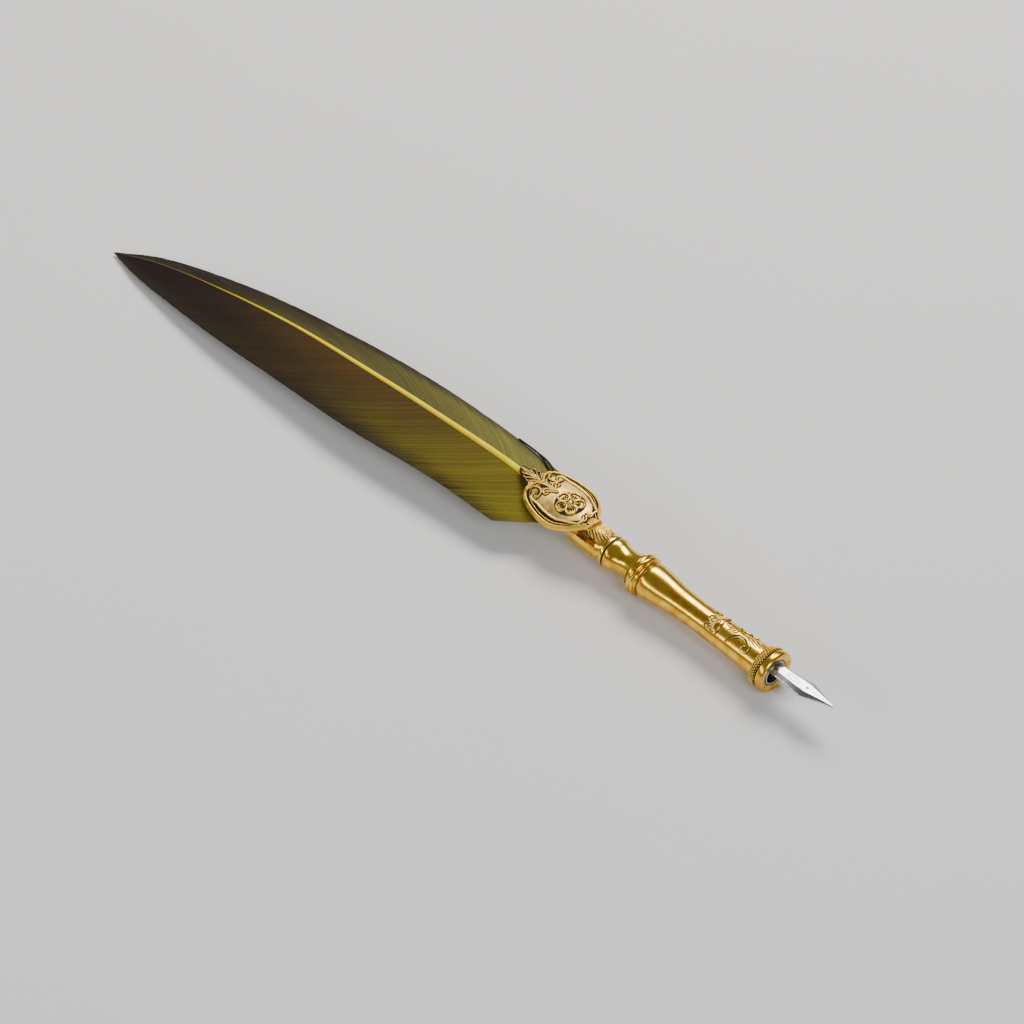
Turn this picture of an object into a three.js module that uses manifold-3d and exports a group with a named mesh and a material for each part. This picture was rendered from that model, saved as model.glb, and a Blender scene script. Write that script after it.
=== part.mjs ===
// Quill pen: a gilt cast holder with a steel nib in its mouth and a dyed feather glued into its socket.
// The pen lies along X with the nib towards +X and the cartouche up. Lengths are in millimetres.
// It is built about the holder's axis, with x = 0 at the neck joint, and the last lines move the
// group so that its origin is the middle of the pen's base.

import * as THREE from 'three';
import { mergeVertices } from 'three/addons/utils/BufferGeometryUtils.js';
import Module from 'manifold-3d';

// ---- Driving dimensions ----

const TURNED_SIDES = 30; // sides of a turned piece
const CLEARANCE = 0.05; // between pieces that touch
const SEAM = 0.15; // half of the gap at the neck joint

const upperBarrel = { end: 9.6, shoulder: 5.0, waist: 4.2 };
const spigot = { radius: 2.9, end: 20 };
const collar = { start: 9.75, end: 13.55, radius: 6.35 };
const grip = { start: 13.7, end: 59.2, bulge: 5.62, waist: 4.25, front: 4.8 };
const ropeRing = { middle: 58.15, halfWidth: 1.1, thickness: 1.3 };
const mouth = { start: 59.3, end: 62, radius: 6.5, faceRadius: 6, bore: 3.95 };
const ferrule = { start: 44, end: 61.7, outer: 3.8, bore: 3.3, seat: 43.6 };
const spring = { start: 44.3, base: 45.4, end: 59.5, outer: 2.75, inner: 2.4, slot: 0.9 };
const nib = {
  rear: 46.4, tip: 82.8, shoulder: 73.2, radius: 3.22, halfAngle: 0.84, thickness: 0.32,
  foldStart: 61.8, foldEnd: 64, flatShare: 0.5, bladeStart: 66, widest: 3.1, point: 0.4, tipLift: 0.9,
  holeRadius: 0.55, slitWidth: 0.16, slitLength: 9.5,
};
const stud = { rear: -5.8, front: 3.9, radius: 2.0, chamfer: 0.4 };
const socket = { rear: -15, seat: -6.2, bore: 3.3, radius: 4.75, lip: 4.95, slant: 0.33 };
const ledge = { rear: -10.5, front: -3.6, height: 2.3 };
const glue = { rear: -13.5, front: -7 };
const quill = { start: -6.6, calamus: 1.6, plateX: -38, atPlate: 0.98, tipX: -193, tip: 0.16 };
const vane = { thickness: 0.45, root: -16.5, last: -192.4, camber: 0.5, narrowest: 0.3 };
const cartouche = { thickness: 1.4, crown: 6.6, drop: 2.6, halfWidth: 9, yaw: -0.059, pivot: -8 };
const bead = { radius: 0.42, squash: 1.12, inset: 2.4 };
const leaves = { middle: 40, halfWidth: 1.9, point: 0.5, count: 4 };
const neckLeafSize = { front: -1.2, length: 5.1, thickness: 0.55 };
const featherLeafSize = { start: -31.1, length: 7.3, halfWidth: 3.1, top: 5.5, fall: 0.9 };
const rosette = { x: -17.4, reach: 2.5, petal: 1.6, wire: 0.34, centre: 0.95 };

// Half outline of the cartouche, from the neck round to the feather's leaf.
const CARTOUCHE_HALF = [
  [-6.6, 1.9], [-8.5, 3.1], [-10.6, 5.3], [-13, 7.2], [-16.5, 8.7], [-20.5, 9],
  [-25, 8.4], [-28.5, 6.8], [-30.4, 5], [-30.8, 3], [-30.9, 0.4],
];

// The shaft's centre line past the socket, and each vane's outer edge, from the socket to the tip.
const FEATHER_TIP = [-194.2, -16, -6];
const SHAFT_LINE = [
  [-18, 0.2, 0.3], [-24, 0.5, 1], [-40, 2, 2.5], [-70, 0.5, 3], [-100, -1, 2], [-130, -3, 0.5],
  [-160, -7, -2], [-180, -11, -4], [-193.5, -15.5, -6],
];
const WIDE_EDGE = [
  [-32, -16, 1], [-56, -17.5, 2], [-86, -20.5, 1.5], [-116, -21, 0], [-147, -21, -2], [-178, -19, -4.5],
  FEATHER_TIP,
];
const NARROW_EDGE = [
  [-30, 10, 1.5], [-56, 10.5, 2], [-86, 9, 2], [-116, 5.5, 1], [-147, 1, -1.5], [-178, -7, -4.5],
  FEATHER_TIP,
];

// ---- Finishes ----

function finish(color, roughness, metalness) {
  return new THREE.MeshStandardMaterial({ color, roughness, metalness });
}

const POLISHED_GOLD = { color: 0xc9982f, roughness: 0.15, metalness: 1 };
const ANTIQUE_GOLD = { color: 0xa9843f, roughness: 0.35, metalness: 1 };
const STEEL = { color: 0xc8cacc, roughness: 0.18, metalness: 1 };
const DARK_STEEL = { color: 0x55565a, roughness: 0.4, metalness: 1 };
const QUILL_YELLOW = { color: 0xe8d43c, roughness: 0.45, metalness: 0 };
const OLIVE_VANE = { color: 0x5c5728, roughness: 0.7, metalness: 0 };
const GREY_GREEN_VANE = { color: 0x737048, roughness: 0.65, metalness: 0 };
const AMBER_GLUE = { color: 0x4a2f14, roughness: 0.3, metalness: 0 };

// ---- Shape helpers ----

const wasm = await Module();
wasm.setup();

function toSolid(geometry) {
  const bare = new THREE.BufferGeometry();
  bare.setAttribute('position', geometry.getAttribute('position'));
  bare.setIndex(geometry.index);
  const merged = mergeVertices(bare, 1e-4);
  const vertProperties = new Float32Array(merged.getAttribute('position').array);
  const triVerts = new Uint32Array(merged.index.array);
  return new wasm.Manifold(new wasm.Mesh({ numProp: 3, vertProperties, triVerts }));
}

function toGeometry(solid) {
  const mesh = solid.getMesh();
  const geometry = new THREE.BufferGeometry();
  geometry.setAttribute('position', new THREE.BufferAttribute(new Float32Array(mesh.vertProperties), 3));
  geometry.setIndex(new THREE.BufferAttribute(new Uint32Array(mesh.triVerts), 1));
  geometry.computeVertexNormals();
  return geometry;
}

const unite = (solids) => solids.reduce((whole, next) => whole.add(next));

// A piece turned about the X axis. The profile is [x, radius] points, going outwards, forwards and back in.
function turned(profile, sides = TURNED_SIDES) {
  const points = profile.map(([x, radius]) => new THREE.Vector2(radius, x));
  return new THREE.LatheGeometry(points, sides).rotateZ(-Math.PI / 2);
}

// A tube wall: an outer profile that runs forwards, closed by a plain bore.
function turnedTube(outer, bore, sides = TURNED_SIDES) {
  const first = outer[0][0];
  const last = outer[outer.length - 1][0];
  return turned([[first, bore], ...outer, [last, bore], [first, bore]], sides);
}

function smooth(points, count) {
  const curve = new THREE.SplineCurve(points.map(([x, y]) => new THREE.Vector2(x, y)));
  return curve.getPoints(count).map((p) => [p.x, p.y]);
}

function spaceCurve(points) {
  return new THREE.CatmullRomCurve3(points.map((p) => new THREE.Vector3(...p)));
}

// A closed body from a row of rings: ring(i) returns the same even number of points for every i, and
// the rings turn anticlockwise when seen from the last one. Each end is closed by a ladder of quads.
function loft(count, ring) {
  const rings = Array.from({ length: count }, (_, i) => ring(i));
  const size = rings[0].length;
  const positions = rings.flat().flatMap((p) => [p.x, p.y, p.z]);
  const index = [];
  for (let i = 0; i < count - 1; i += 1) {
    for (let j = 0; j < size; j += 1) {
      const a = i * size + j;
      const b = i * size + ((j + 1) % size);
      index.push(a, b, b + size, a, b + size, a + size);
    }
  }
  const last = (count - 1) * size;
  for (let j = 0; j < size / 2 - 1; j += 1) {
    const k = size - 2 - j;
    index.push(j, k, j + 1, j, k + 1, k);
    index.push(last + j, last + j + 1, last + k, last + j, last + k, last + k + 1);
  }
  const geometry = new THREE.BufferGeometry();
  geometry.setAttribute('position', new THREE.Float32BufferAttribute(positions, 3));
  geometry.setIndex(index);
  geometry.computeVertexNormals();
  return geometry;
}

// A plate between two surfaces: point(row, column, side) with side 1 on top and 0 underneath.
// Rows run towards -X and columns towards +Y.
function plate(rows, columns, point) {
  return loft(rows, (i) => {
    const row = i / (rows - 1);
    const ring = [];
    for (let j = 0; j < columns; j += 1) ring.push(point(row, j / (columns - 1), 0));
    for (let j = columns - 1; j >= 0; j -= 1) ring.push(point(row, j / (columns - 1), 1));
    return ring.reverse();
  });
}

// A round rod along a curve, with a radius that changes along it.
function rod(curve, radiusAt, steps, sides) {
  const up = new THREE.Vector3(0, 0, 1);
  return loft(steps + 1, (i) => {
    const t = i / steps;
    const centre = curve.getPointAt(t);
    const tangent = curve.getTangentAt(t);
    const across = new THREE.Vector3().crossVectors(up, tangent).normalize();
    const over = new THREE.Vector3().crossVectors(tangent, across);
    return Array.from({ length: sides }, (_, k) => {
      const angle = (2 * Math.PI * k) / sides;
      const offset = across.clone().multiplyScalar(Math.cos(angle)).addScaledVector(over, Math.sin(angle));
      return centre.clone().addScaledVector(offset, radiusAt(t));
    });
  });
}

// ---- Holder ----

const GRIP_PROFILE = smooth([
  [grip.start, 5.1], [grip.start + 2.1, grip.bulge], [19, 5.35], [25, 4.55], [33, grip.waist],
  [43, 4.35], [52, 4.65], [grip.end, grip.front],
], 13);

function gripRadius(x) {
  const next = Math.max(1, GRIP_PROFILE.findIndex((p) => p[0] >= x));
  const [x0, r0] = GRIP_PROFILE[next - 1];
  const [x1, r1] = GRIP_PROFILE[next];
  return THREE.MathUtils.mapLinear(x, x0, x1, r0, r1);
}

function gripBarrel() {
  return turned([
    [grip.start, spigot.radius + CLEARANCE], ...GRIP_PROFILE, [grip.end, ferrule.outer + CLEARANCE],
    [ferrule.seat, ferrule.outer + CLEARANCE], [ferrule.seat, spigot.radius + CLEARANCE],
    [grip.start, spigot.radius + CLEARANCE],
  ]);
}

function upperBarrelBody() {
  const vase = smooth([
    [0.7, upperBarrel.shoulder], [1.8, 4.9], [5.4, upperBarrel.waist], [8.4, 4.75], [upperBarrel.end, 5.05],
  ], 7);
  const threadBore = stud.radius + CLEARANCE;
  return turned([
    [stud.front + 0.8, 0], [stud.front + 0.8, threadBore], [SEAM, threadBore], [SEAM, 4.7], ...vase,
    [upperBarrel.end, spigot.radius], [spigot.end, spigot.radius], [spigot.end, 0],
  ]);
}

function collarRing() {
  const { start, end, radius } = collar;
  const middle = (start + end) / 2;
  return turnedTube([
    [start, 5.2], [start + 0.4, 6], [start + 1, radius], [middle, radius - 0.25],
    [end - 1, radius], [end - 0.4, 6], [end, 5.3],
  ], spigot.radius + CLEARANCE);
}

function ropeRingBody() {
  const sides = 10;
  const middle = grip.front + CLEARANCE + ropeRing.thickness / 2;
  const section = Array.from({ length: sides + 1 }, (_, k) => {
    const angle = (2 * Math.PI * k) / sides;
    return [
      ropeRing.middle - ropeRing.halfWidth * Math.cos(angle),
      middle + (ropeRing.thickness / 2) * Math.sin(angle),
    ];
  });
  return turned(section);
}

function mouthRing() {
  const { start, end, radius, faceRadius, bore } = mouth;
  return turnedTube([
    [start, 5.7], [start + 0.4, radius - 0.3], [start + 1, radius - 0.05], [end - 0.6, radius],
    [end - 0.1, radius - 0.2], [end, faceRadius],
  ], bore);
}

// ---- Nib holder and nib ----

function ferruleSleeve() {
  return turnedTube([[ferrule.start, ferrule.outer], [ferrule.end, ferrule.outer]], ferrule.bore);
}

// Four leaves on a disc: a cup cut by two crossed slots.
function ferruleSpring() {
  const { start, base, end, outer, inner, slot } = spring;
  const cup = toSolid(turned([
    [start, 0], [start, outer], [end, outer], [end, inner], [base, inner], [base, 0],
  ], 32));
  const length = end - base;
  const slotBox = new THREE.BoxGeometry(length + 1, slot, 3 * outer).translate(base + (length + 1) / 2, 0, 0);
  const upright = toSolid(slotBox);
  const level = toSolid(slotBox.clone().rotateX(Math.PI / 2));
  return toGeometry(cup.subtract(upright).subtract(level));
}

function nibHalfWidth(x) {
  const { bladeStart, shoulder, tip, widest, point } = nib;
  const rear = nib.radius * Math.sin(nib.halfAngle);
  if (x < bladeStart) return rear;
  if (x < shoulder) return THREE.MathUtils.mapLinear(x, bladeStart, shoulder, rear, widest);
  const toTip = (x - shoulder) / (tip - shoulder);
  return point + (widest - point) * (1 - toTip) ** 1.25;
}

// Height of the nib's upper face. It is arched inside the sleeve and folds to a flat top with two side
// facets in front of it. Across runs from -1 to 1.
function nibLevel(x, across) {
  const { rear, radius, halfAngle, foldStart, foldEnd, flatShare, bladeStart, tip, tipLift } = nib;
  const arch = radius * (1 - Math.cos(halfAngle));
  const flattened = THREE.MathUtils.smoothstep(x, bladeStart, tip);
  const folded = THREE.MathUtils.smoothstep(x, foldStart, foldEnd);
  const facet = Math.max(0, (Math.abs(across) - flatShare) / (1 - flatShare));
  const rise = arch * (1 - 0.6 * flattened) * (nibHalfWidth(x) / nibHalfWidth(rear)) ** 0.5;
  return radius + (tipLift - 0.25) * flattened - rise * THREE.MathUtils.lerp(across ** 2, facet, folded);
}

function nibBody() {
  const rows = 25;
  const columns = 9;
  const blank = plate(rows, columns, (row, column, side) => {
    const x = nib.tip - row * (nib.tip - nib.rear);
    const across = 2 * column - 1;
    const taper = side ? 1 : 0.97;
    return new THREE.Vector3(
      x, nibHalfWidth(x) * across * taper, nibLevel(x, across) - (side ? 0 : nib.thickness),
    );
  });
  const height = 6;
  const slit = new THREE.BoxGeometry(nib.slitLength + 1, nib.slitWidth, height);
  slit.translate(nib.tip - nib.slitLength / 2 + 0.5, 0, nib.radius);
  const hole = new THREE.CylinderGeometry(nib.holeRadius, nib.holeRadius, height, 12).rotateX(Math.PI / 2);
  hole.translate(nib.shoulder, 0, nib.radius);
  return toGeometry(toSolid(blank).subtract(unite([toSolid(slit), toSolid(hole)])));
}

// ---- Relief on the grip ----

const RELIEF_HEIGHT = 0.55;
const RELIEF_SPAN = 0.9; // half the angle that the relief covers, about the top

function onGrip(x, angle, height) {
  const radius = gripRadius(x) + height;
  return new THREE.Vector3(x, radius * Math.sin(angle), radius * Math.cos(angle));
}

// A band of upright leaves over the top of the grip; its ends run in and out from leaf to leaf.
function leafBand() {
  return plate(3, 6 * leaves.count + 1, (row, column, side) => {
    const angle = RELIEF_SPAN * (2 * column - 1);
    const tip = 0.5 - 0.5 * Math.cos(2 * Math.PI * leaves.count * column);
    const x = leaves.middle - (2 * row - 1) * (leaves.halfWidth + leaves.point * tip);
    return onGrip(x, angle, side ? RELIEF_HEIGHT : CLEARANCE);
  });
}

// A raised strip along a line of [x, y] points on the grip, y being the way round from the top line.
function strip(line, halfWidth) {
  const curve = new THREE.SplineCurve(line.map(([x, y]) => new THREE.Vector2(x, y)));
  const count = 3 * line.length;
  return loft(count, (i) => {
    const t = i / (count - 1);
    const at = curve.getPoint(t);
    const along = curve.getTangent(t);
    const side = new THREE.Vector2(-along.y, along.x).multiplyScalar(halfWidth);
    const corner = (sign, height) => {
      const angle = (at.y + sign * side.y) / grip.front;
      return onGrip(at.x + sign * side.x, angle, height);
    };
    const foot = CLEARANCE;
    return [corner(1, foot), corner(-1, foot), corner(-1, RELIEF_HEIGHT), corner(1, RELIEF_HEIGHT)].reverse();
  });
}

// Points on a spiral about [x, y]: the radius and the angle both run evenly from the first to the last.
function curl([x, y], radii, degrees, count) {
  return Array.from({ length: count }, (_, k) => {
    const t = k / (count - 1);
    const radius = THREE.MathUtils.lerp(...radii, t);
    const angle = THREE.MathUtils.degToRad(THREE.MathUtils.lerp(...degrees, t));
    return [x + radius * Math.cos(angle), y + radius * Math.sin(angle)];
  });
}

// A large C scroll that ends in a hook, a small curl behind it and two blades of leaf beyond it.
function scrollRelief() {
  const hook = curl([51.9, -2.3], [1.5, 1.2], [50, -120], 5);
  const scroll = [...curl([49.7, -3.4], [3.8, 3.6], [-175, -300], 6), ...hook];
  const smallCurl = curl([43.9, 1.5], [1.3, 1], [-20, -230], 6);
  const fan = [[45.1, 1.2], [46, 0], [47, -1]];
  const tie = [[49.7, 0], [49.6, 0.7], [49.5, 1.4]];
  const blade = (x, y) => [[x, y], [x + 2.2, y], [x + 4.5, y - 0.8], [x + 6, y - 1.2]];
  const strips = [
    strip(scroll, 0.35), strip(smallCurl, 0.35), strip(fan, 0.3), strip(tie, 0.3),
    strip(blade(48.2, 1.1), 0.3), strip(blade(49.5, 1.5), 0.3),
  ];
  return toGeometry(unite(strips.map(toSolid)));
}

// ---- Neck screw and feather socket ----

function threadStud() {
  const { rear, front, radius, chamfer } = stud;
  return turned([
    [rear, 0], [rear, radius - chamfer], [rear + chamfer, radius], [front - chamfer, radius],
    [front, radius - chamfer], [front, 0],
  ], 24);
}

function socketTube() {
  const { rear, seat, bore, radius, lip, slant } = socket;
  const tube = toSolid(turned([
    [rear, bore], [rear, radius], [-3.2, radius], [-2, radius - 0.15], [-1.1, lip], [-SEAM, lip - 0.15],
    [-SEAM, stud.radius + CLEARANCE], [seat, stud.radius + CLEARANCE], [seat, bore], [rear, bore],
  ]));
  const cutter = new THREE.BoxGeometry(10, 30, 30).translate(-5, 0, 0);
  cutter.rotateY(slant).translate(rear + radius * Math.tan(slant), 0, 0);
  const length = ledge.front - ledge.rear;
  const notch = new THREE.BoxGeometry(length, 12, 6);
  notch.translate(ledge.rear + length / 2, 0, ledge.height + 3);
  return toGeometry(tube.subtract(toSolid(cutter)).subtract(toSolid(notch)));
}

function glueRing() {
  return turnedTube(
    [[glue.rear, socket.bore - CLEARANCE], [glue.front, socket.bore - CLEARANCE]],
    quill.calamus + CLEARANCE,
    24,
  );
}

// ---- Cartouche ----

const CARTOUCHE_EDGE = smooth(CARTOUCHE_HALF, 18);

function crownHeight(x, y) {
  const towardsFeather = Math.max(0, -14 - x) / 16;
  return cartouche.crown - cartouche.drop * (y / cartouche.halfWidth) ** 2 - 0.8 * towardsFeather ** 2;
}

// The shield is a domed plate. Each row runs across it between the two sides of its outline.
function cartouchePlate() {
  const half = CARTOUCHE_EDGE;
  return plate(half.length, 7, (row, column, side) => {
    const [x, y] = half[Math.round(row * (half.length - 1))];
    const across = y * (2 * column - 1);
    return new THREE.Vector3(x, across, crownHeight(x, across) - (side ? 0 : cartouche.thickness));
  });
}

// Half of the border bead: an arc round the lobe at the neck, the outline's long side moved in, and a
// small curl beside the feather's leaf.
function borderScroll(sign) {
  const lobe = curl([-12.3, 2.4], [2.1, 2.1], [-60, 45], 5);
  const side = CARTOUCHE_EDGE.filter(([x]) => x < -14 && x > -25).map(([x, y]) => [x, y - bead.inset]);
  const volute = curl([-26.6, 4.6], [1.5, 1], [100, 250], 5);
  const lift = bead.radius * bead.squash + CLEARANCE;
  const points = [...lobe, ...side, ...volute].map(([x, y]) => [x, sign * y, crownHeight(x, y) + lift]);
  return rod(spaceCurve(points), () => bead.radius, 36, 6);
}

// Five open petals round a button.
function rosetteBody() {
  const z = cartouche.crown + rosette.wire + CLEARANCE;
  const petals = Array.from({ length: 5 }, (_, k) => {
    const angle = Math.PI + (2 * Math.PI * k) / 5;
    const ring = new THREE.TorusGeometry(rosette.petal, rosette.wire, 4, 10);
    ring.translate(rosette.x + rosette.reach * Math.cos(angle), rosette.reach * Math.sin(angle), z);
    return toSolid(ring);
  });
  const button = new THREE.SphereGeometry(rosette.centre, 10, 5).scale(1, 1, 0.6);
  button.translate(rosette.x, 0, z + 0.25);
  return toGeometry(unite([...petals, toSolid(button)]));
}

// A lobed leaf that stands on the shield's notch and points down the feather.
function featherLeaf() {
  const { start, length, halfWidth, top, fall } = featherLeafSize;
  return plate(13, 5, (row, column, side) => {
    const lobes = 0.35 * Math.abs(Math.sin(2 * Math.PI * row));
    const half = (halfWidth + lobes) * (1 - row) ** 0.8 + 0.35;
    const across = half * (2 * column - 1);
    const z = top - fall * row - 0.05 * across ** 2;
    const thickness = cartouche.thickness * (1 - 0.6 * row);
    return new THREE.Vector3(start - length * row, across, z - (side ? 0 : thickness));
  });
}

// A spread leaf laid over the socket from the shield to the neck.
function neckLeaf() {
  const { front, length, thickness } = neckLeafSize;
  return plate(11, 11, (row, column, side) => {
    const lobes = 0.08 * Math.abs(Math.sin(2.5 * Math.PI * row));
    const half = 0.1 + 0.5 * Math.sin(Math.PI * (0.15 + 0.8 * row)) + lobes;
    const angle = half * (2 * column - 1);
    const radius = socket.lip + 2 * CLEARANCE + (side ? thickness : 0);
    return new THREE.Vector3(front - length * row, radius * Math.sin(angle), radius * Math.cos(angle));
  });
}

// ---- Feather ----

const SHAFT = spaceCurve([[quill.start, 0, 0], [-10.5, 0, 0], [glue.rear - 0.4, 0, 0], ...SHAFT_LINE]);

function shaftRadius(t) {
  const x = SHAFT.getPointAt(t).x;
  const atPlate = THREE.MathUtils.smoothstep(-x, -glue.rear, -quill.plateX);
  const stem = THREE.MathUtils.lerp(quill.calamus, quill.atPlate, atPlate);
  const towardsTip = THREE.MathUtils.clamp((quill.plateX - x) / (quill.plateX - quill.tipX), 0, 1);
  return THREE.MathUtils.lerp(stem, quill.tip, towardsTip);
}

function quillShaft() {
  return rod(SHAFT, shaftRadius, 36, 8);
}

// Where the shaft passes a given x, found by halving.
function shaftAt(x) {
  let low = 0;
  let high = 1;
  for (let i = 0; i < 24; i += 1) {
    const middle = (low + high) / 2;
    if (SHAFT.getPointAt(middle).x > x) low = middle;
    else high = middle;
  }
  return low;
}

// A vane: a cambered sheet from the shaft's side to its outer edge.
function featherVane(edgePoints, sign) {
  const edge = spaceCurve(edgePoints);
  const first = shaftAt(vane.root);
  const last = shaftAt(vane.last);
  return plate(36, 5, (row, column, side) => {
    const t = THREE.MathUtils.lerp(first, last, row);
    const root = SHAFT.getPointAt(t);
    root.y += sign * (shaftRadius(t) * 1.02 + CLEARANCE);
    const outwards = sign > 0 ? column : 1 - column;
    const rim = edge.getPointAt(row);
    if (sign * (rim.y - root.y) < vane.narrowest) rim.y = root.y + sign * vane.narrowest;
    const at = root.lerp(rim, outwards);
    at.z += vane.camber * Math.sin(Math.PI * outwards) * (1 - row) + (side ? 0.5 : -0.5) * vane.thickness;
    return at;
  });
}

// ---- Assembly ----

function piece(name, geometry, { color, roughness, metalness }) {
  const mesh = new THREE.Mesh(geometry, finish(color, roughness, metalness));
  mesh.name = name;
  return mesh;
}

const holder = new THREE.Group();
holder.add(
  piece('grip_barrel', gripBarrel(), POLISHED_GOLD),
  piece('leaf_band', leafBand(), ANTIQUE_GOLD),
  piece('scroll_relief', scrollRelief(), ANTIQUE_GOLD),
  piece('rope_ring', ropeRingBody(), ANTIQUE_GOLD),
  piece('mouth_ring', mouthRing(), POLISHED_GOLD),
  piece('collar_ring', collarRing(), POLISHED_GOLD),
  piece('upper_barrel', upperBarrelBody(), POLISHED_GOLD),
  piece('ferrule_sleeve', ferruleSleeve(), STEEL),
  piece('ferrule_spring', ferruleSpring(), DARK_STEEL),
);

const shield = new THREE.Group();
shield.add(
  piece('cartouche_plate', cartouchePlate(), ANTIQUE_GOLD),
  piece('border_scroll_left', borderScroll(1), ANTIQUE_GOLD),
  piece('border_scroll_right', borderScroll(-1), ANTIQUE_GOLD),
  piece('rosette', rosetteBody(), ANTIQUE_GOLD),
  piece('feather_leaf', featherLeaf(), ANTIQUE_GOLD),
);
for (const part of shield.children) part.position.x = -cartouche.pivot;
shield.position.x = cartouche.pivot;
shield.rotation.z = cartouche.yaw;

const head = new THREE.Group();
head.add(
  piece('socket_tube', socketTube(), POLISHED_GOLD),
  piece('glue_ring', glueRing(), AMBER_GLUE),
  piece('neck_leaf', neckLeaf(), ANTIQUE_GOLD),
  shield,
  piece('quill_shaft', quillShaft(), QUILL_YELLOW),
  piece('wide_vane', featherVane(WIDE_EDGE, -1), OLIVE_VANE),
  piece('narrow_vane', featherVane(NARROW_EDGE, 1), GREY_GREEN_VANE),
);

const pen = new THREE.Group();
pen.add(holder, head, piece('thread_stud', threadStud(), STEEL), piece('nib', nibBody(), STEEL));

const bounds = new THREE.Box3().setFromObject(pen, true);
const middle = bounds.getCenter(new THREE.Vector3());
pen.position.set(-middle.x, -middle.y, -bounds.min.z);

export default pen;
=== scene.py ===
"""Quill pen: the finished look of the holder, nib and feather, built piece by piece round the frame.

The file is laid out as an add-on and run as a script. Each operator makes one piece, or one group of
like pieces, in the place that the frame gives it. Lengths below are in millimetres from the neck
seam on the holder's axis, with the nib towards +X, and become metres where a mesh is made.
"""

import math

import bmesh
import bpy
import numpy as np
from mathutils import Matrix, Vector
from mathutils.kdtree import KDTree


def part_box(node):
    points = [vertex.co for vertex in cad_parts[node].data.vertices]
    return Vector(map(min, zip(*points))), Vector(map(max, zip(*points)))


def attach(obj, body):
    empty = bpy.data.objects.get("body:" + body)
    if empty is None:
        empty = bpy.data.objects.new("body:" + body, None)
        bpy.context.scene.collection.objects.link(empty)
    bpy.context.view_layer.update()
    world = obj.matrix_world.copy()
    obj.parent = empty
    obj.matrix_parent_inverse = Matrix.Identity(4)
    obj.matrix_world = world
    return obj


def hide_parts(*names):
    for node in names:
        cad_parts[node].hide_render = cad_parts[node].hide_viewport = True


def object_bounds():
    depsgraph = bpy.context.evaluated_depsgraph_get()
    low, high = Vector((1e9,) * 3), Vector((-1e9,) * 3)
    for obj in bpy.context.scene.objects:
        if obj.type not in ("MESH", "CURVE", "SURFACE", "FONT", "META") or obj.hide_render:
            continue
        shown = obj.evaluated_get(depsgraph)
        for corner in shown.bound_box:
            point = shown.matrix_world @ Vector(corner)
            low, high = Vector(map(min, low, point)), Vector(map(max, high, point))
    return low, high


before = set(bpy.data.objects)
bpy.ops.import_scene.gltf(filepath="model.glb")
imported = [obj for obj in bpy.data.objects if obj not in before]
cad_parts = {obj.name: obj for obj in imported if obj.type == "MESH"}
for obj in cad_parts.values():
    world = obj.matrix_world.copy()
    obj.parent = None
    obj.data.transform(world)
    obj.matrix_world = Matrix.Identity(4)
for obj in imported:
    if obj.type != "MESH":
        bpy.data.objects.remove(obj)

bl_info = {
    "name": "Quill pen",
    "version": (1, 0, 0),
    "blender": (4, 5, 0),
    "location": "3D View > Sidebar > Quill pen",
    "description": "Makes a gilt quill pen with a steel nib and a dyed feather",
    "category": "Add Mesh",
}

CAD_BOX = [list(corner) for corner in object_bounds()]
MM = 0.001


def neck_seam():
    """The middle of the neck seam on the holder's axis, in the frame's metres."""
    low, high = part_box("mouth_ring")
    seam = (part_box("socket_tube")[1].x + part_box("upper_barrel")[0].x) / 2
    return np.array([seam, (low.y + high.y) / 2, (low.z + high.z) / 2])


ORIGIN = neck_seam()


# ---- Lines and outlines ----


def smooth_line(points, count, closed=False):
    """Evenly spaced points on a smooth curve that passes through the given ones."""
    knots = np.asarray(points, float)
    if closed:
        knots = np.vstack([knots[-1], knots, knots[0], knots[1]])
    else:
        knots = np.vstack([2 * knots[0] - knots[1], knots, 2 * knots[-1] - knots[-2]])
    t = np.linspace(0, 1, 24, endpoint=False)[:, None]
    spans = [
        0.5 * (2 * b + (c - a) * t + (2 * a - 5 * b + 4 * c - d) * t**2 + (3 * b - a - 3 * c + d) * t**3)
        for a, b, c, d in zip(knots, knots[1:], knots[2:], knots[3:])
    ]
    fine = np.vstack([*spans, knots[-2][None]])
    run = np.concatenate([[0], np.cumsum(np.linalg.norm(np.diff(fine, axis=0), axis=1))])
    at = np.linspace(0, run[-1], count, endpoint=not closed)
    return np.column_stack([np.interp(at, run, column) for column in fine.T])


def rounded(outline, radius, steps=3):
    """A closed outline with each corner turned into a small arc."""
    corners = np.asarray(outline, float)
    t = np.linspace(0, 1, steps + 1)[:, None]
    arcs = []
    for before, corner, after in zip(np.roll(corners, 1, 0), corners, np.roll(corners, -1, 0)):
        back, on = before - corner, after - corner
        reach = min(radius, 0.45 * np.linalg.norm(back), 0.45 * np.linalg.norm(on))
        start = corner + back / np.linalg.norm(back) * reach
        end = corner + on / np.linalg.norm(on) * reach
        arcs.append((1 - t) ** 2 * start + 2 * t * (1 - t) * corner + t**2 * end)
    return np.vstack(arcs)


def curl(centre, radii, degrees, count=24):
    """Points on a spiral about a centre, from the first radius and angle to the second."""
    angle = np.radians(np.linspace(*degrees, count))
    radius = np.linspace(*radii, count)
    return np.column_stack([centre[0] + radius * np.cos(angle), centre[1] + radius * np.sin(angle)])


def on_side(points, side):
    """The points as they are, or mirrored in the middle line when the side is -1."""
    return np.asarray(points, float) * [1, side]


def smoothstep(values, low, high):
    t = np.clip((np.asarray(values, float) - low) / (high - low), 0, 1)
    return t * t * (3 - 2 * t)


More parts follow.
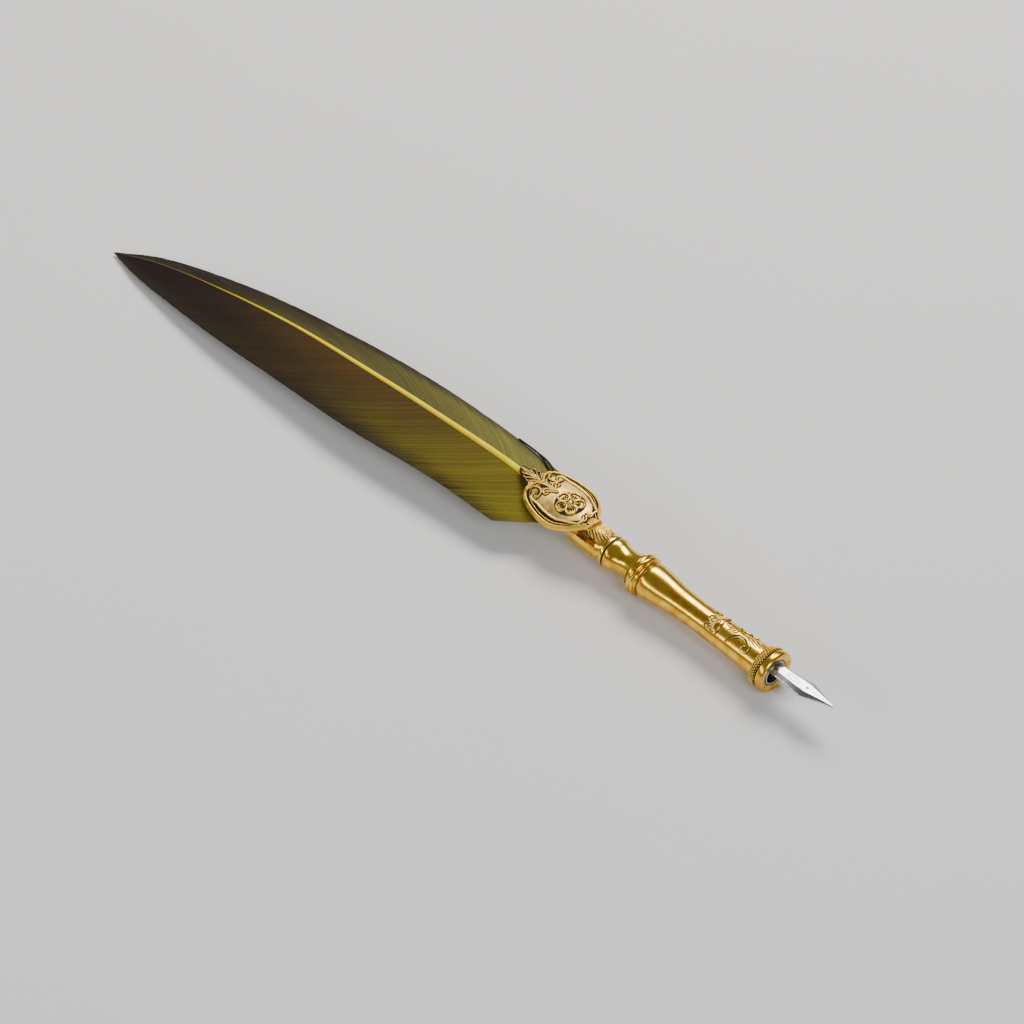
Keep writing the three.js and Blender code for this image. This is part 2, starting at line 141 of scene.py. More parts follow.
def distance_to_line(x, y, line):
    """How far each (x, y) is from a line, and how far along the line its nearest point is, 0 to 1."""
    line = np.asarray(line, float)
    lengths = np.linalg.norm(np.diff(line, axis=0), axis=1)
    run = np.concatenate([[0], np.cumsum(lengths)]) / lengths.sum()
    best = np.full(x.shape, 1e9)
    along = np.zeros(x.shape)
    for k, (a, b) in enumerate(zip(line, line[1:])):
        step = b - a
        t = np.clip(((x - a[0]) * step[0] + (y - a[1]) * step[1]) / (step @ step), 0, 1)
        gap = np.hypot(x - a[0] - t * step[0], y - a[1] - t * step[1])
        near = gap < best
        best = np.where(near, gap, best)
        along = np.where(near, run[k] + t * (run[k + 1] - run[k]), along)
    return best, along


class Relief:
    """Heights over a sheet of (x, y) points, raised by beads and sunk by grooves along lines."""

    def __init__(self, x, y):
        self.x, self.y = x, y
        self.height = np.zeros(x.shape)
        self.gap = np.full(x.shape, 9.0)

    def stroke(self, points, width, height, taper=(1, 1), samples=40, closed=False):
        """A round-topped bead. The taper gives its size at the two ends as a share of the middle's."""
        line = smooth_line(points, samples, closed)
        if closed:
            line = np.vstack([line, line[:1]])
        reach = width + 0.8
        near = (
            (self.x > line[:, 0].min() - reach) & (self.x < line[:, 0].max() + reach)
            & (self.y > line[:, 1].min() - reach) & (self.y < line[:, 1].max() + reach)
        )
        if not near.any():
            return
        gap, along = distance_to_line(self.x[near], self.y[near], line)
        size = np.interp(along, [0, 0.5, 1], [taper[0], 1, taper[1]])
        spread = width * np.maximum(size, 0.05)
        self.gap[near] = np.minimum(self.gap[near], np.maximum(gap - spread, 0))
        bead = np.sqrt(np.clip(1 - (gap / spread) ** 2, 0, 1))
        raised = height * bead * np.sqrt(size)
        if height > 0:
            self.height[near] = np.maximum(self.height[near], raised)
        else:
            self.height[near] = np.minimum(self.height[near], raised)


# ---- Meshes ----


def lattice_faces(rows, columns, wrap_rows, wrap_columns):
    row, column = np.meshgrid(
        np.arange(rows if wrap_rows else rows - 1),
        np.arange(columns if wrap_columns else columns - 1),
        indexing="ij",
    )
    next_row, next_column = (row + 1) % rows, (column + 1) % columns
    corners = [(row, column), (row, next_column), (next_row, next_column), (next_row, column)]
    return np.stack([r * columns + c for r, c in corners], -1).reshape(-1, 4)


class Shape:
    """Points and faces gathered from several lattices, in millimetres from the neck seam."""

    def __init__(self):
        self.points, self.faces, self.count = [], [], 0

    def lattice(self, points, wrap_rows=False, wrap_columns=False):
        """Adds a sheet of rows of points. Rows that shrink to one point become poles when merged."""
        rows, columns = points.shape[:2]
        self.faces.append(lattice_faces(rows, columns, wrap_rows, wrap_columns) + self.count)
        self.points.append(points.reshape(-1, 3))
        self.count += rows * columns
        return self

    def turned(self, outline, sides=96):
        """Turns a closed outline of [x, radius] points about the holder's axis."""
        outline = np.asarray(outline, float)
        angle = np.linspace(0, 2 * math.pi, sides, endpoint=False)
        x = np.repeat(outline[:, :1], sides, 1)
        y = outline[:, 1:] * np.sin(angle)
        z = outline[:, 1:] * np.cos(angle)
        return self.lattice(np.stack([x, y, z], -1), wrap_rows=True, wrap_columns=True)

    def swept(self, line, radius, sides=10, flatten=1.0, closed=False, up=(0, 0, 1)):
        """A rod along a line. The radius may change from point to point; flatten squashes it upright."""
        line = np.asarray(line, float)
        if closed:
            tangent = np.roll(line, -1, 0) - np.roll(line, 1, 0)
        else:
            tangent = np.gradient(line, axis=0)
        tangent /= np.linalg.norm(tangent, axis=1)[:, None]
        across = np.cross(np.broadcast_to(np.asarray(up, float), line.shape), tangent)
        across /= np.linalg.norm(across, axis=1)[:, None]
        over = np.cross(tangent, across)
        angle = np.linspace(0, 2 * math.pi, sides, endpoint=False)
        size = np.broadcast_to(radius, len(line))[:, None, None]
        sideways = np.cos(angle)[None, :, None] * across[:, None]
        upwards = flatten * np.sin(angle)[None, :, None] * over[:, None]
        rings = line[:, None] + size * (sideways + upwards)
        if not closed:
            first = np.repeat(line[None, :1], sides, 1)
            last = np.repeat(line[None, -1:], sides, 1)
            rings = np.vstack([first, rings, last])
        return self.lattice(rings, wrap_rows=closed, wrap_columns=True)

    def slab(self, top, bottom):
        """A closed plate between two sheets of the same size."""
        rings = np.concatenate([top, bottom[:, ::-1]], axis=1)
        rows, size = rings.shape[:2]
        start = self.count
        self.lattice(rings, wrap_columns=True)
        near = np.arange(size // 2 - 1)
        ladder = np.stack([near, near + 1, size - 2 - near, size - 1 - near], -1)
        self.faces += [ladder + start, ladder + start + (rows - 1) * size]
        return self

    def moved(self, change):
        """Runs every point through a function."""
        self.points = [change(points) for points in self.points]
        return self

    def piece(self, name, material, sharp=40):
        """The finished object: merged, closed, faces outwards and smooth up to the given angle."""
        mesh = bpy.data.meshes.new(name)
        points = np.vstack(self.points) * MM + ORIGIN
        faces = [list(face) for block in self.faces for face in block.tolist()]
        mesh.from_pydata(points.tolist(), [], faces)
        return settle(mesh, name, material, sharp)


def settle(mesh, name, material, sharp=40):
    """Cleans a mesh and puts it in the scene as an object at the origin."""
    work = bmesh.new()
    work.from_mesh(mesh)
    bmesh.ops.remove_doubles(work, verts=work.verts, dist=2e-7)
    bmesh.ops.dissolve_degenerate(work, edges=work.edges, dist=1e-8)
    bmesh.ops.recalc_face_normals(work, faces=work.faces)
    for face in work.faces:
        face.smooth = True
    work.to_mesh(mesh)
    work.free()
    if sharp < 180:
        mesh.set_sharp_from_angle(angle=math.radians(sharp))
    mesh.materials.clear()
    mesh.materials.append(material)
    piece = bpy.data.objects.new(name, mesh)
    bpy.context.scene.collection.objects.link(piece)
    return piece


def mark_hollows(piece, depth, passes):
    """Stores how sunken each point is: 0.5 on flat metal, towards 1 in a recess and 0 on a crest.

    The depth, in millimetres, is the sinking that counts as a full recess, and more passes look wider.
    """
    mesh = piece.data
    count = len(mesh.vertices)
    points = np.empty(count * 3)
    mesh.vertices.foreach_get("co", points)
    points = points.reshape(-1, 3)
    normals = np.empty(count * 3)
    mesh.vertices.foreach_get("normal", normals)
    normals = normals.reshape(-1, 3)
    ends = np.empty(len(mesh.edges) * 2, dtype=np.int32)
    mesh.edges.foreach_get("vertices", ends)
    a, b = ends.reshape(-1, 2).T
    degree = np.bincount(a, minlength=count) + np.bincount(b, minlength=count)
    spread = points.copy()
    for _ in range(passes):
        for axis in range(3):
            total = np.bincount(a, spread[b, axis], count) + np.bincount(b, spread[a, axis], count)
            spread[:, axis] = 0.5 * spread[:, axis] + 0.5 * total / np.maximum(degree, 1)
    sunk = ((spread - points) * normals).sum(1) / (depth * MM)
    store(mesh, "hollow", np.clip(0.5 + 0.5 * sunk, 0, 1))


def store(mesh, name, values):
    attribute = mesh.attributes.get(name) or mesh.attributes.new(name, "FLOAT", "POINT")
    attribute.data.foreach_set("value", np.asarray(values, np.float32))


def transfer(piece, points, values, name):
    """Stores values, known at some points, on the piece's nearest points."""
    tree = KDTree(len(points))
    for k, point in enumerate(points):
        tree.insert(point, k)
    tree.balance()
    nearest = [values[tree.find(point)[1]] for point in local_points(piece)]
    store(piece.data, name, nearest)


def recess(relief, low=0.12, high=0.6):
    """Patina for a cast relief: near 1 on its floor, and below 0.3 on the tops of its beads."""
    return 0.97 - 0.72 * smoothstep(relief.height / relief.height.max(), low, high)


def dress_slab(piece, top, bottom, darkness):
    """Stores the patina worked out for a slab's upper sheet, and plain metal elsewhere."""
    rings = np.concatenate([top, bottom[:, ::-1]], axis=1)
    values = np.full(rings.shape[:2], 0.55)
    values[:, :top.shape[1]] = darkness
    transfer(piece, rings.reshape(-1, 3), values.ravel(), "hollow")


def local_points(piece):
    """The piece's points, in millimetres from the neck seam."""
    mesh = piece.data
    points = np.empty(len(mesh.vertices) * 3)
    mesh.vertices.foreach_get("co", points)
    return (points.reshape(-1, 3) - ORIGIN) / MM


def x_and_radius(piece):
    """How far along the holder's axis, and how far from it, each of the piece's points is."""
    points = local_points(piece)
    return points[:, 0], np.hypot(points[:, 1], points[:, 2])


def leave_plain(piece):
    """Stores the patina value of plain metal at every point."""
    store(piece.data, "hollow", np.full(len(piece.data.vertices), 0.5))


def finish_piece(piece, body, slot, *nodes):
    """The piece rides on its body and stands for the CAD nodes, which are hidden. The slot is not used."""
    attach(piece, body)
    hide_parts(*nodes)


# ---- Node graphs ----


class Socket:
    """An output in a node graph. Operators between sockets and numbers add Math nodes."""

    def __init__(self, graph, socket):
        self.graph, self.socket = graph, socket

    def math(self, operation, *values):
        inputs = dict(enumerate(values))
        return self.graph.node("ShaderNodeMath", inputs, operation=operation)

    def __add__(self, other):
        return self.math("ADD", self, other)

    def __radd__(self, other):
        return self.math("ADD", other, self)

    def __sub__(self, other):
        return self.math("SUBTRACT", self, other)

    def __rsub__(self, other):
        return self.math("SUBTRACT", other, self)

    def __mul__(self, other):
        return self.math("MULTIPLY", self, other)

    def __pow__(self, other):
        return self.math("POWER", self, other)


class Graph:
    """Builds the nodes of a material or of a Geometry Nodes tree."""

    def __init__(self, tree):
        self.tree = tree

    def node(self, kind, inputs=None, output=0, stops=None, **settings):
        """Adds a node: its settings first, then its ramp's stops, then its inputs' values or links."""
        made = self.tree.nodes.new(kind)
        for name, value in settings.items():
            setattr(made, name, value)
        if stops:
            ramp = made.color_ramp
            while len(ramp.elements) < len(stops):
                ramp.elements.new(0.5)
            for element, (place, colour) in zip(ramp.elements, stops):
                element.position = place
                element.color = (*colour, 1)
        for name, value in (inputs or {}).items():
            if isinstance(value, Socket):
                self.tree.links.new(value.socket, made.inputs[name])
            else:
                made.inputs[name].default_value = value
        return Socket(self, made.outputs[output])

    def mix(self, factor, first, second):
        """A colour between two colours."""
        colours = [(*c, 1) if isinstance(c, tuple) and len(c) == 3 else c for c in (first, second)]
        return self.node(
            "ShaderNodeMix", {0: factor, 6: colours[0], 7: colours[1]}, output=2, data_type="RGBA"
        )

    def ramp(self, value, low, high):
        """The value's place between low and high, from 0 to 1, eased at both ends."""
        return self.node(
            "ShaderNodeMapRange", {0: value, 1: low, 2: high, 3: 0.0, 4: 1.0},
            interpolation_type="SMOOTHSTEP",
        )

    def attribute(self, name):
        return self.node("ShaderNodeAttribute", output=2, attribute_name=name)

    def noise(self, place, scale, detail=3.0, roughness=0.5):
        """Noise from 0 to 1. The scale is in features per metre."""
        return self.node(
            "ShaderNodeTexNoise", {"Vector": place, "Scale": scale, "Detail": detail, "Roughness": roughness}
        )

    def place(self, stretch=(1, 1, 1), turn=(0, 0, 0)):
        """The point on the piece, in metres from the neck seam, stretched and turned."""
        point = self.node("ShaderNodeTexCoord", output=3)
        centred = self.node(
            "ShaderNodeVectorMath", {0: point, 1: tuple(ORIGIN)}, operation="SUBTRACT"
        )
        return self.node(
            "ShaderNodeMapping", {"Vector": centred, "Rotation": turn, "Scale": stretch}
        )

    def bump(self, height, strength, distance):
        return self.node(
            "ShaderNodeBump", {"Height": height, "Strength": strength, "Distance": distance}
        )


def material(name, build, **uniform):
    """A material whose build function returns the inputs that change over the surface."""
    made = bpy.data.materials.new(name)
    made.use_nodes = True
    graph = Graph(made.node_tree)
    shader = made.node_tree.nodes["Principled BSDF"]
    for socket, value in uniform.items():
        shader.inputs[socket.replace("_", " ")].default_value = value
    for socket, value in build(graph).items():
        made.node_tree.links.new(value.socket, shader.inputs[socket])
    return made


# ---- Finishes ----


class FinishSettings(bpy.types.PropertyGroup):
    """Colours and polish of the metals, the quill and the vanes."""

    gold: bpy.props.FloatVectorProperty(
        name="Gold", description="Colour of the polished gilding", subtype="COLOR",
        default=(0.95, 0.60, 0.06), min=0, max=1,
    )
    pale_gold: bpy.props.FloatVectorProperty(
        name="Pale gold", description="Colour of the rubbed crests of the relief", subtype="COLOR",
        default=(0.98, 0.74, 0.22), min=0, max=1,
    )
    # Patina in the relief's recesses, and also the colour of the painted shade in the socket's bore, on the
    # collar's core and round the rosette and beads.
    patina_and_shade: bpy.props.FloatVectorProperty(
        name="Patina", description="Dark colour left in the recesses", subtype="COLOR",
        default=(0.016, 0.008, 0.003), min=0, max=1,
    )
    polish: bpy.props.FloatProperty(
        name="Polish", description="Roughness of the polished gilding",
        default=0.19, min=0.02, max=1, subtype="FACTOR",
    )
    steel: bpy.props.FloatVectorProperty(
        name="Steel", description="Colour of the plated nib", subtype="COLOR",
        default=(0.50, 0.51, 0.53), min=0, max=1,
    )
    quill: bpy.props.FloatVectorProperty(
        name="Quill", description="Dyed yellow of the shaft", subtype="COLOR",
        default=(1.0, 0.80, 0.0), min=0, max=1,
    )
    amber: bpy.props.FloatVectorProperty(
        name="Glue", description="Colour of the set glue", subtype="COLOR",
        default=(0.30, 0.16, 0.05), min=0, max=1,
    )


def finishes():
    return bpy.context.scene.quill_finishes


def gold(name, relief=False, satin=0.14):
    """Gilding. On relief the recesses hold dark patina and the crests are rubbed pale and satin; on the plain
    pieces the same darkening is painted shade.
    """
    colours = finishes()

    def build(graph):
        hollow = graph.attribute("hollow")
        place = graph.place()
        cloud = graph.noise(place, 320, 4)
        grain = graph.noise(place, 2600, 3)
        hairline = graph.noise(graph.place(stretch=(0.12, 1, 1)), 5200, 2)
        tint = graph.mix(graph.ramp(cloud, 0.35, 0.7), tuple(colours.gold), (0.66, 0.32, 0.02))
        low, high = (0.51, 0.66) if relief else (0.60, 0.9)
        # Patina on the relief; on the plain pieces this darkening is painted shade, in the socket's bore and
        # on the collar's core.
        dark = graph.ramp(hollow + (cloud - 0.5) * 0.08 + (grain - 0.5) * 0.08, low, high)
        if relief:
            rubbed = graph.ramp(hollow + (grain - 0.5) * 0.1, 0.5, 0.3)
            tint = graph.mix(rubbed * 0.8, tint, tuple(colours.pale_gold))
        rough = colours.polish + (satin if relief else 0.0)
        return {
            "Base Color": graph.mix(dark, tint, tuple(colours.patina_and_shade)),
            "Metallic": 1 - dark * 0.75,
            "Roughness": rough + graph.ramp(cloud, 0.4, 0.8) * 0.08 + dark * 0.45,
            "Normal": graph.bump(hairline * 0.5 + grain * 0.5, satin if relief else 0.08, 0.00004),
        }

    return material(name, build, IOR=1.5)


def field_gold(name):
    """Gilding of the cartouche: brushed and pale on the open field, dark with patina in the grooves, and dark
    with patina and painted shadow round the rosette and beads.
    """
    colours = finishes()

    def build(graph):
        hollow = graph.attribute("hollow")
        groove = graph.attribute("groove")
        place = graph.place()
        cloud = graph.noise(place, 380, 4)
        grain = graph.noise(place, 3000, 3)
        brushed = graph.noise(graph.place(stretch=(0.15, 1, 1), turn=(0, 0, 0.5)), 5200, 3)
        # The groove value holds patina in the channel and round the relief, and painted shadow with patina
        # round the rosette and the border beads.
        dark = graph.ramp(
            groove * 0.8 + (hollow - 0.5) * 1.8 + (cloud - 0.5) * 0.25 + (grain - 0.5) * 0.2, 0.12, 0.5
        )
        worn = graph.ramp(cloud * 0.6 + brushed * 0.4, 0.35, 0.65)
        tint = graph.mix(worn, (0.92, 0.65, 0.19), (0.45, 0.26, 0.05))
        tint = graph.mix(graph.ramp(hollow, 0.5, 0.3), tint, tuple(colours.gold))
        return {
            "Base Color": graph.mix(dark, tint, tuple(colours.patina_and_shade)),
            "Metallic": 1 - dark * 0.75,
            "Roughness": 0.36 + brushed * 0.12 + dark * 0.4,
            "Normal": graph.bump(brushed * 0.6 + grain * 0.4, 0.4, 0.00004),
        }

    return material(name, build, IOR=1.5)


def steel(name, dull=False):
    """Bright plating with faint rolling lines, or the dull steel of the parts inside; sunk points are
    darkened as painted shade.
    """
    colours = finishes()

    def build(graph):
        hollow = graph.attribute("hollow")
        place = graph.place()
        rolled = graph.noise(graph.place(stretch=(0.06, 1, 1)), 4200, 3)
        cloud = graph.noise(place, 420, 3)
        # Painted shade: points that the hollow value marks as sunk, such as the nib's grooves and the
        # thread's roots, are mixed towards near black.
        dark = graph.ramp(hollow + (cloud - 0.5) * 0.1, 0.6, 0.95)
        clean = tuple(colours.steel) if not dull else (0.30, 0.30, 0.32)
        colour = graph.mix(graph.ramp(rolled * 0.6 + cloud * 0.4, 0.4, 0.6) * 0.6, clean, (0.26, 0.26, 0.28))
        return {
            "Base Color": graph.mix(dark, colour, (0.03, 0.03, 0.035)),
            "Roughness": (0.34 if dull else 0.16) + rolled * 0.16 + dark * 0.3,
            "Normal": graph.bump(rolled, 0.15, 0.00003),
        }

    return material(name, build, Metallic=1.0)


def quill_finish(name):
    """Dyed keratin: bright by the cartouche and browning towards the tip."""
    colours = finishes()

    def build(graph):
        along = graph.attribute("along")
        fibres = graph.noise(graph.place(stretch=(0.04, 1, 1)), 5200, 3)
        cloud = graph.noise(graph.place(), 160, 3)
        yellow = graph.mix(graph.ramp(cloud, 0.3, 0.7), tuple(colours.quill), (0.92, 0.66, 0.0))
        pale = graph.mix(graph.ramp(along, 0.5, 0.92), yellow, (0.16, 0.09, 0.02))
        return {
            "Base Color": graph.mix(fibres * 0.12, pale, (0.6, 0.38, 0.02)),
            "Roughness": 0.6 + fibres * 0.2,
            "Normal": graph.bump(fibres, 0.35, 0.00005),
        }

    return material(name, build, Specular_IOR_Level=0.05)


def vane_finish(name, stops, rim, warm):
    """Dyed barbs: colours along the vane, a warmer dye beside the shaft and a darker rim."""

    def build(graph):
        along = graph.attribute("along")
        across = graph.attribute("across")
        strand = graph.attribute("strand")
        cloud = graph.noise(graph.place(stretch=(1, 1, 0.2)), 90, 4)
        silk = graph.noise(graph.place(), 1400, 3)
        dye = graph.node("ShaderNodeValToRGB", {0: along + (cloud - 0.5) * 0.08}, stops=stops)
        middle = graph.ramp(along, 0.12, 0.42) * graph.ramp(along, 0.85, 0.5)
        beside = graph.ramp(across, 0.6, 0.05) * middle
        dye = graph.mix(beside * 0.7, dye, warm)
        edge = graph.ramp(across + (strand - 0.5) * 0.1, 0.6, 1.0)
        dye = graph.mix(edge * (0.5 + graph.ramp(along, 0.05, 0.35) * 0.4), dye, rim)
        shade = graph.ramp(strand * 0.5 + silk * 0.5, 0.3, 0.7)
        return {
            "Base Color": graph.mix(shade * 0.3, dye, (0.006, 0.004, 0.002)),
            "Roughness": 0.6 + silk * 0.2,
            "Normal": graph.bump(silk, 0.2, 0.00005),
        }

    return material(name, build, Sheen_Weight=0.04, Sheen_Roughness=0.4, Specular_IOR_Level=0.14)


def glue_finish(name):
    colours = finishes()

    def build(graph):
        cloud = graph.noise(graph.place(), 700, 4)
        return {
            "Base Color": graph.mix(graph.ramp(cloud, 0.3, 0.7), tuple(colours.amber), (0.16, 0.08, 0.03)),
            "Roughness": 0.18 + cloud * 0.2,
            "Normal": graph.bump(cloud, 0.4, 0.0001),
        }

    return material(name, build)


# ---- Geometry Nodes ----


def node_tree(name, inputs):
    """An empty Geometry Nodes tree with the named inputs, and sockets for its geometry and inputs."""
    tree = bpy.data.node_groups.new(name, "GeometryNodeTree")
    tree.interface.new_socket("Geometry", in_out="INPUT", socket_type="NodeSocketGeometry")
    for label, (kind, default) in inputs.items():
        socket = tree.interface.new_socket(label, in_out="INPUT", socket_type=kind)
        if default is not None:
            socket.default_value = default
    tree.interface.new_socket("Geometry", in_out="OUTPUT", socket_type="NodeSocketGeometry")
    graph = Graph(tree)
    entry = tree.nodes.new("NodeGroupInput")
    leave = tree.nodes.new("NodeGroupOutput")
    return graph, {socket.name: Socket(graph, socket) for socket in entry.outputs if socket.name}, leave


def close_tree(graph, leave, geometry, finish):
    """Ends a tree in Realize Instances and Set Material."""
    solid = graph.node("GeometryNodeRealizeInstances", {0: geometry})
    dressed = graph.node("GeometryNodeSetMaterial", {"Geometry": solid, "Material": finish})
    graph.tree.links.new(dressed.socket, leave.inputs[0])
    return graph.tree


def barb_tree():
    """Flat barbs swept along guide lines, each with its own small twist and thickness."""
    graph, given, leave = node_tree("barbs", {
        "Width": ("NodeSocketFloat", 0.0005),
        "Thickness": ("NodeSocketFloat", 0.0001),
        "Lean": ("NodeSocketFloat", 0.2),
        "Seed": ("NodeSocketInt", 3),
        "Material": ("NodeSocketMaterial", None),
    })
    strands = graph.node("GeometryNodeMeshToCurve", {0: given["Geometry"]})
    index = graph.node("GeometryNodeInputIndex")
    strand_number = graph.node(
        "GeometryNodeFieldOnDomain", {0: index}, domain="CURVE", data_type="INT"
    )
    chance = graph.node(
        "FunctionNodeRandomValue",
        {2: 0.0, 3: 1.0, "ID": strand_number, "Seed": given["Seed"]}, output=1, data_type="FLOAT",
    )
    named = graph.node(
        "GeometryNodeStoreNamedAttribute",
        {"Geometry": strands, "Name": "strand", "Value": chance}, data_type="FLOAT", domain="POINT",
    )
    upright = graph.node("GeometryNodeSetCurveNormal", {0: named}, mode="Z_UP")
    tilted = graph.node(
        "GeometryNodeSetCurveTilt", {"Curve": upright, "Tilt": given["Lean"] * (0.7 + chance * 0.6)}
    )
    along = graph.node("GeometryNodeSplineParameter")
    taper = (1.02 - along ** 6) ** 0.5
    sized = graph.node(
        "GeometryNodeSetCurveRadius", {"Curve": tilted, "Radius": taper * (0.85 + chance * 0.3)}
    )
    section = graph.node(
        "GeometryNodeCurvePrimitiveCircle", {"Resolution": 4, "Radius": 0.5}, mode="RADIUS"
    )
    scale = graph.node("ShaderNodeCombineXYZ", {0: given["Width"], 1: given["Thickness"], 2: 1.0})
    flat = graph.node("GeometryNodeTransform", {"Geometry": section, "Scale": scale})
    swept = graph.node(
        "GeometryNodeCurveToMesh", {"Curve": sized, "Profile Curve": flat, "Fill Caps": True}
    )
    return close_tree(graph, leave, swept, given["Material"])


def bead_tree():
    """Small slanted beads, one after another along guide lines, as in a laid cord."""
    graph, given, leave = node_tree("beads", {
        "Spacing": ("NodeSocketFloat", 0.0005),
        "Length": ("NodeSocketFloat", 0.0005),
        "Thickness": ("NodeSocketFloat", 0.0003),
        "Slant": ("NodeSocketFloat", 0.6),
        "Material": ("NodeSocketMaterial", None),
    })
    path = graph.node("GeometryNodeMeshToCurve", {0: given["Geometry"]})
    upright = graph.node("GeometryNodeSetCurveNormal", {0: path}, mode="MINIMUM_TWIST")
    points = graph.tree.nodes.new("GeometryNodeCurveToPoints")
    points.mode = "LENGTH"
    graph.tree.links.new(upright.socket, points.inputs["Curve"])
    graph.tree.links.new(given["Spacing"].socket, points.inputs["Length"])
    turn = graph.node("ShaderNodeCombineXYZ", {0: given["Slant"]})
    turned = graph.node(
        "FunctionNodeRotateRotation",
        {0: Socket(graph, points.outputs["Rotation"]), 1: turn}, rotation_space="LOCAL",
    )
    ball = graph.node("GeometryNodeMeshUVSphere", {"Segments": 8, "Rings": 5, "Radius": 0.5})
    size = graph.node(
        "ShaderNodeCombineXYZ", {0: given["Thickness"], 1: given["Thickness"], 2: given["Length"]}
    )
    bead = graph.node("GeometryNodeTransform", {"Geometry": ball, "Scale": size})
    smooth = graph.node("GeometryNodeSetShadeSmooth", {0: bead})
    spread = graph.node(
        "GeometryNodeInstanceOnPoints",
        {"Points": Socket(graph, points.outputs["Points"]), "Instance": smooth, "Rotation": turned},
    )
    return close_tree(graph, leave, spread, given["Material"])


def guide_mesh(name, lines, closed=False, **values):
    """A mesh of guide edges, one chain per line, with named values at its points."""
    mesh = bpy.data.meshes.new(name)
    edges, count = [], 0
    for line in lines:
        size = len(line)
        ends = size if closed else size - 1
        edges += [(count + k, count + (k + 1) % size) for k in range(ends)]
        count += size
    points = np.vstack(lines) * MM + ORIGIN
    mesh.from_pydata(points.tolist(), edges, [])
    for label, numbers in values.items():
        store(mesh, label, np.concatenate(numbers))
    return mesh


def grown(name, guides, tree, finish, **inputs):
    """Runs a tree over guide lines and returns the result as a plain mesh piece."""
    holder = bpy.data.objects.new(name + "_guides", guides)
    bpy.context.scene.collection.objects.link(holder)
    modifier = holder.modifiers.new(name, "NODES")
    modifier.node_group = tree
    sockets = {
        item.name: item.identifier for item in tree.interface.items_tree if item.in_out == "INPUT"
    }
    for label, value in {**inputs, "Material": finish}.items():
        modifier[sockets[label]] = value
    view = bpy.context.evaluated_depsgraph_get()
    mesh = bpy.data.meshes.new_from_object(holder.evaluated_get(view), depsgraph=view)
    bpy.data.objects.remove(holder)
    if not mesh.polygons:
        raise RuntimeError(name + " grew nothing")
    mesh.name = name
    return settle(mesh, name, finish, sharp=180)


# ---- Turned pieces ----


class HolderSettings(bpy.types.PropertyGroup):
    """Sizes of the turned holder, in millimetres."""

    sides: bpy.props.IntProperty(
        name="Sides", description="Sides of a turned piece", default=128, min=16, max=256,
    )
    ease: bpy.props.FloatProperty(
        name="Edge ease", description="Radius of the eased edges, in millimetres",
        default=0.12, min=0.01, max=0.5,
    )


GRIP_START = 13.7
GRIP_END = 59.2
GRIP_OUTLINE = [
    [GRIP_START, 5.0], [14.2, 5.35], [15.8, 5.62], [19, 5.35], [25, 4.55], [33, 4.25], [43, 4.35],
    [52, 4.65], [GRIP_END, 4.8],
]
VASE_OUTLINE = [
    [0.6, 4.98], [1.2, 5.02], [2.1, 4.8], [3.6, 4.35], [5.4, 4.2], [7, 4.42], [8.4, 4.8], [9.5, 5.15],
]
MOUTH_OUTLINE = [[59.3, 5.75], [59.6, 6.2], [60.3, 6.42], [61.4, 6.46], [61.9, 6.15]]
BORE_STEP = 43.6
FERRULE_OUTER = 3.8
FERRULE_BORE = 3.3
FERRULE_START = 44.0
FERRULE_END = 61.7
SPIGOT_RADIUS = 2.9
SPIGOT_END = 20.0
STUD_RADIUS = 2.0
CLEARANCE = 0.05
SEAM = 0.15
SOCKET_REAR = -15.0
SOCKET_RADIUS = 4.75
SOCKET_LIP = 4.95
SOCKET_BORE = 3.3
SOCKET_SEAT = -6.2
SOCKET_SLANT = 0.33


def grip_radius(x):
    line = smooth_line(GRIP_OUTLINE, 120)
    return np.interp(x, line[:, 0], line[:, 1])


def make_grip_barrel(settings, finish):
    outer = smooth_line(GRIP_OUTLINE, 90)
    wide_bore, narrow_bore = FERRULE_OUTER + CLEARANCE, SPIGOT_RADIUS + CLEARANCE
    inner = [
        [GRIP_END, wide_bore], [BORE_STEP, wide_bore], [BORE_STEP, narrow_bore], [GRIP_START, narrow_bore],
    ]
    piece = Shape().turned(np.vstack([outer, inner]), settings.sides).piece("grip_barrel_gilt", finish)
    x = local_points(piece)[:, 0]
    seam = 1 - smoothstep(np.abs(x - GRIP_START), 0.0, 0.35) + 1 - smoothstep(np.abs(x - 57.5), 0.1, 0.5)
    store(piece.data, "hollow", 0.5 + 0.42 * np.clip(seam, 0, 1))
    return piece


def make_upper_barrel(settings, finish):
    shoulder = rounded([[SEAM, 4.3], [SEAM, 4.82], [0.45, 4.98]], 0.1)[2:-2]
    vase = smooth_line(VASE_OUTLINE, 60)
    spigot = [[9.6, 5.0], [9.6, SPIGOT_RADIUS], [SPIGOT_END, SPIGOT_RADIUS], [SPIGOT_END, 0]]
    bore = [[4.7, 0], [4.7, STUD_RADIUS + CLEARANCE], [SEAM, STUD_RADIUS + CLEARANCE]]
    outline = np.vstack([shoulder, vase, spigot, bore])
    piece = Shape().turned(outline, settings.sides).piece("upper_barrel_gilt", finish)
    x, radius = x_and_radius(piece)
    seam = (1 - smoothstep(x, 0.2, 0.55)) * smoothstep(radius, 4.3, 4.7)
    store(piece.data, "hollow", 0.5 + 0.45 * seam + 0.3 * smoothstep(x, 9.0, 9.6))
    return piece


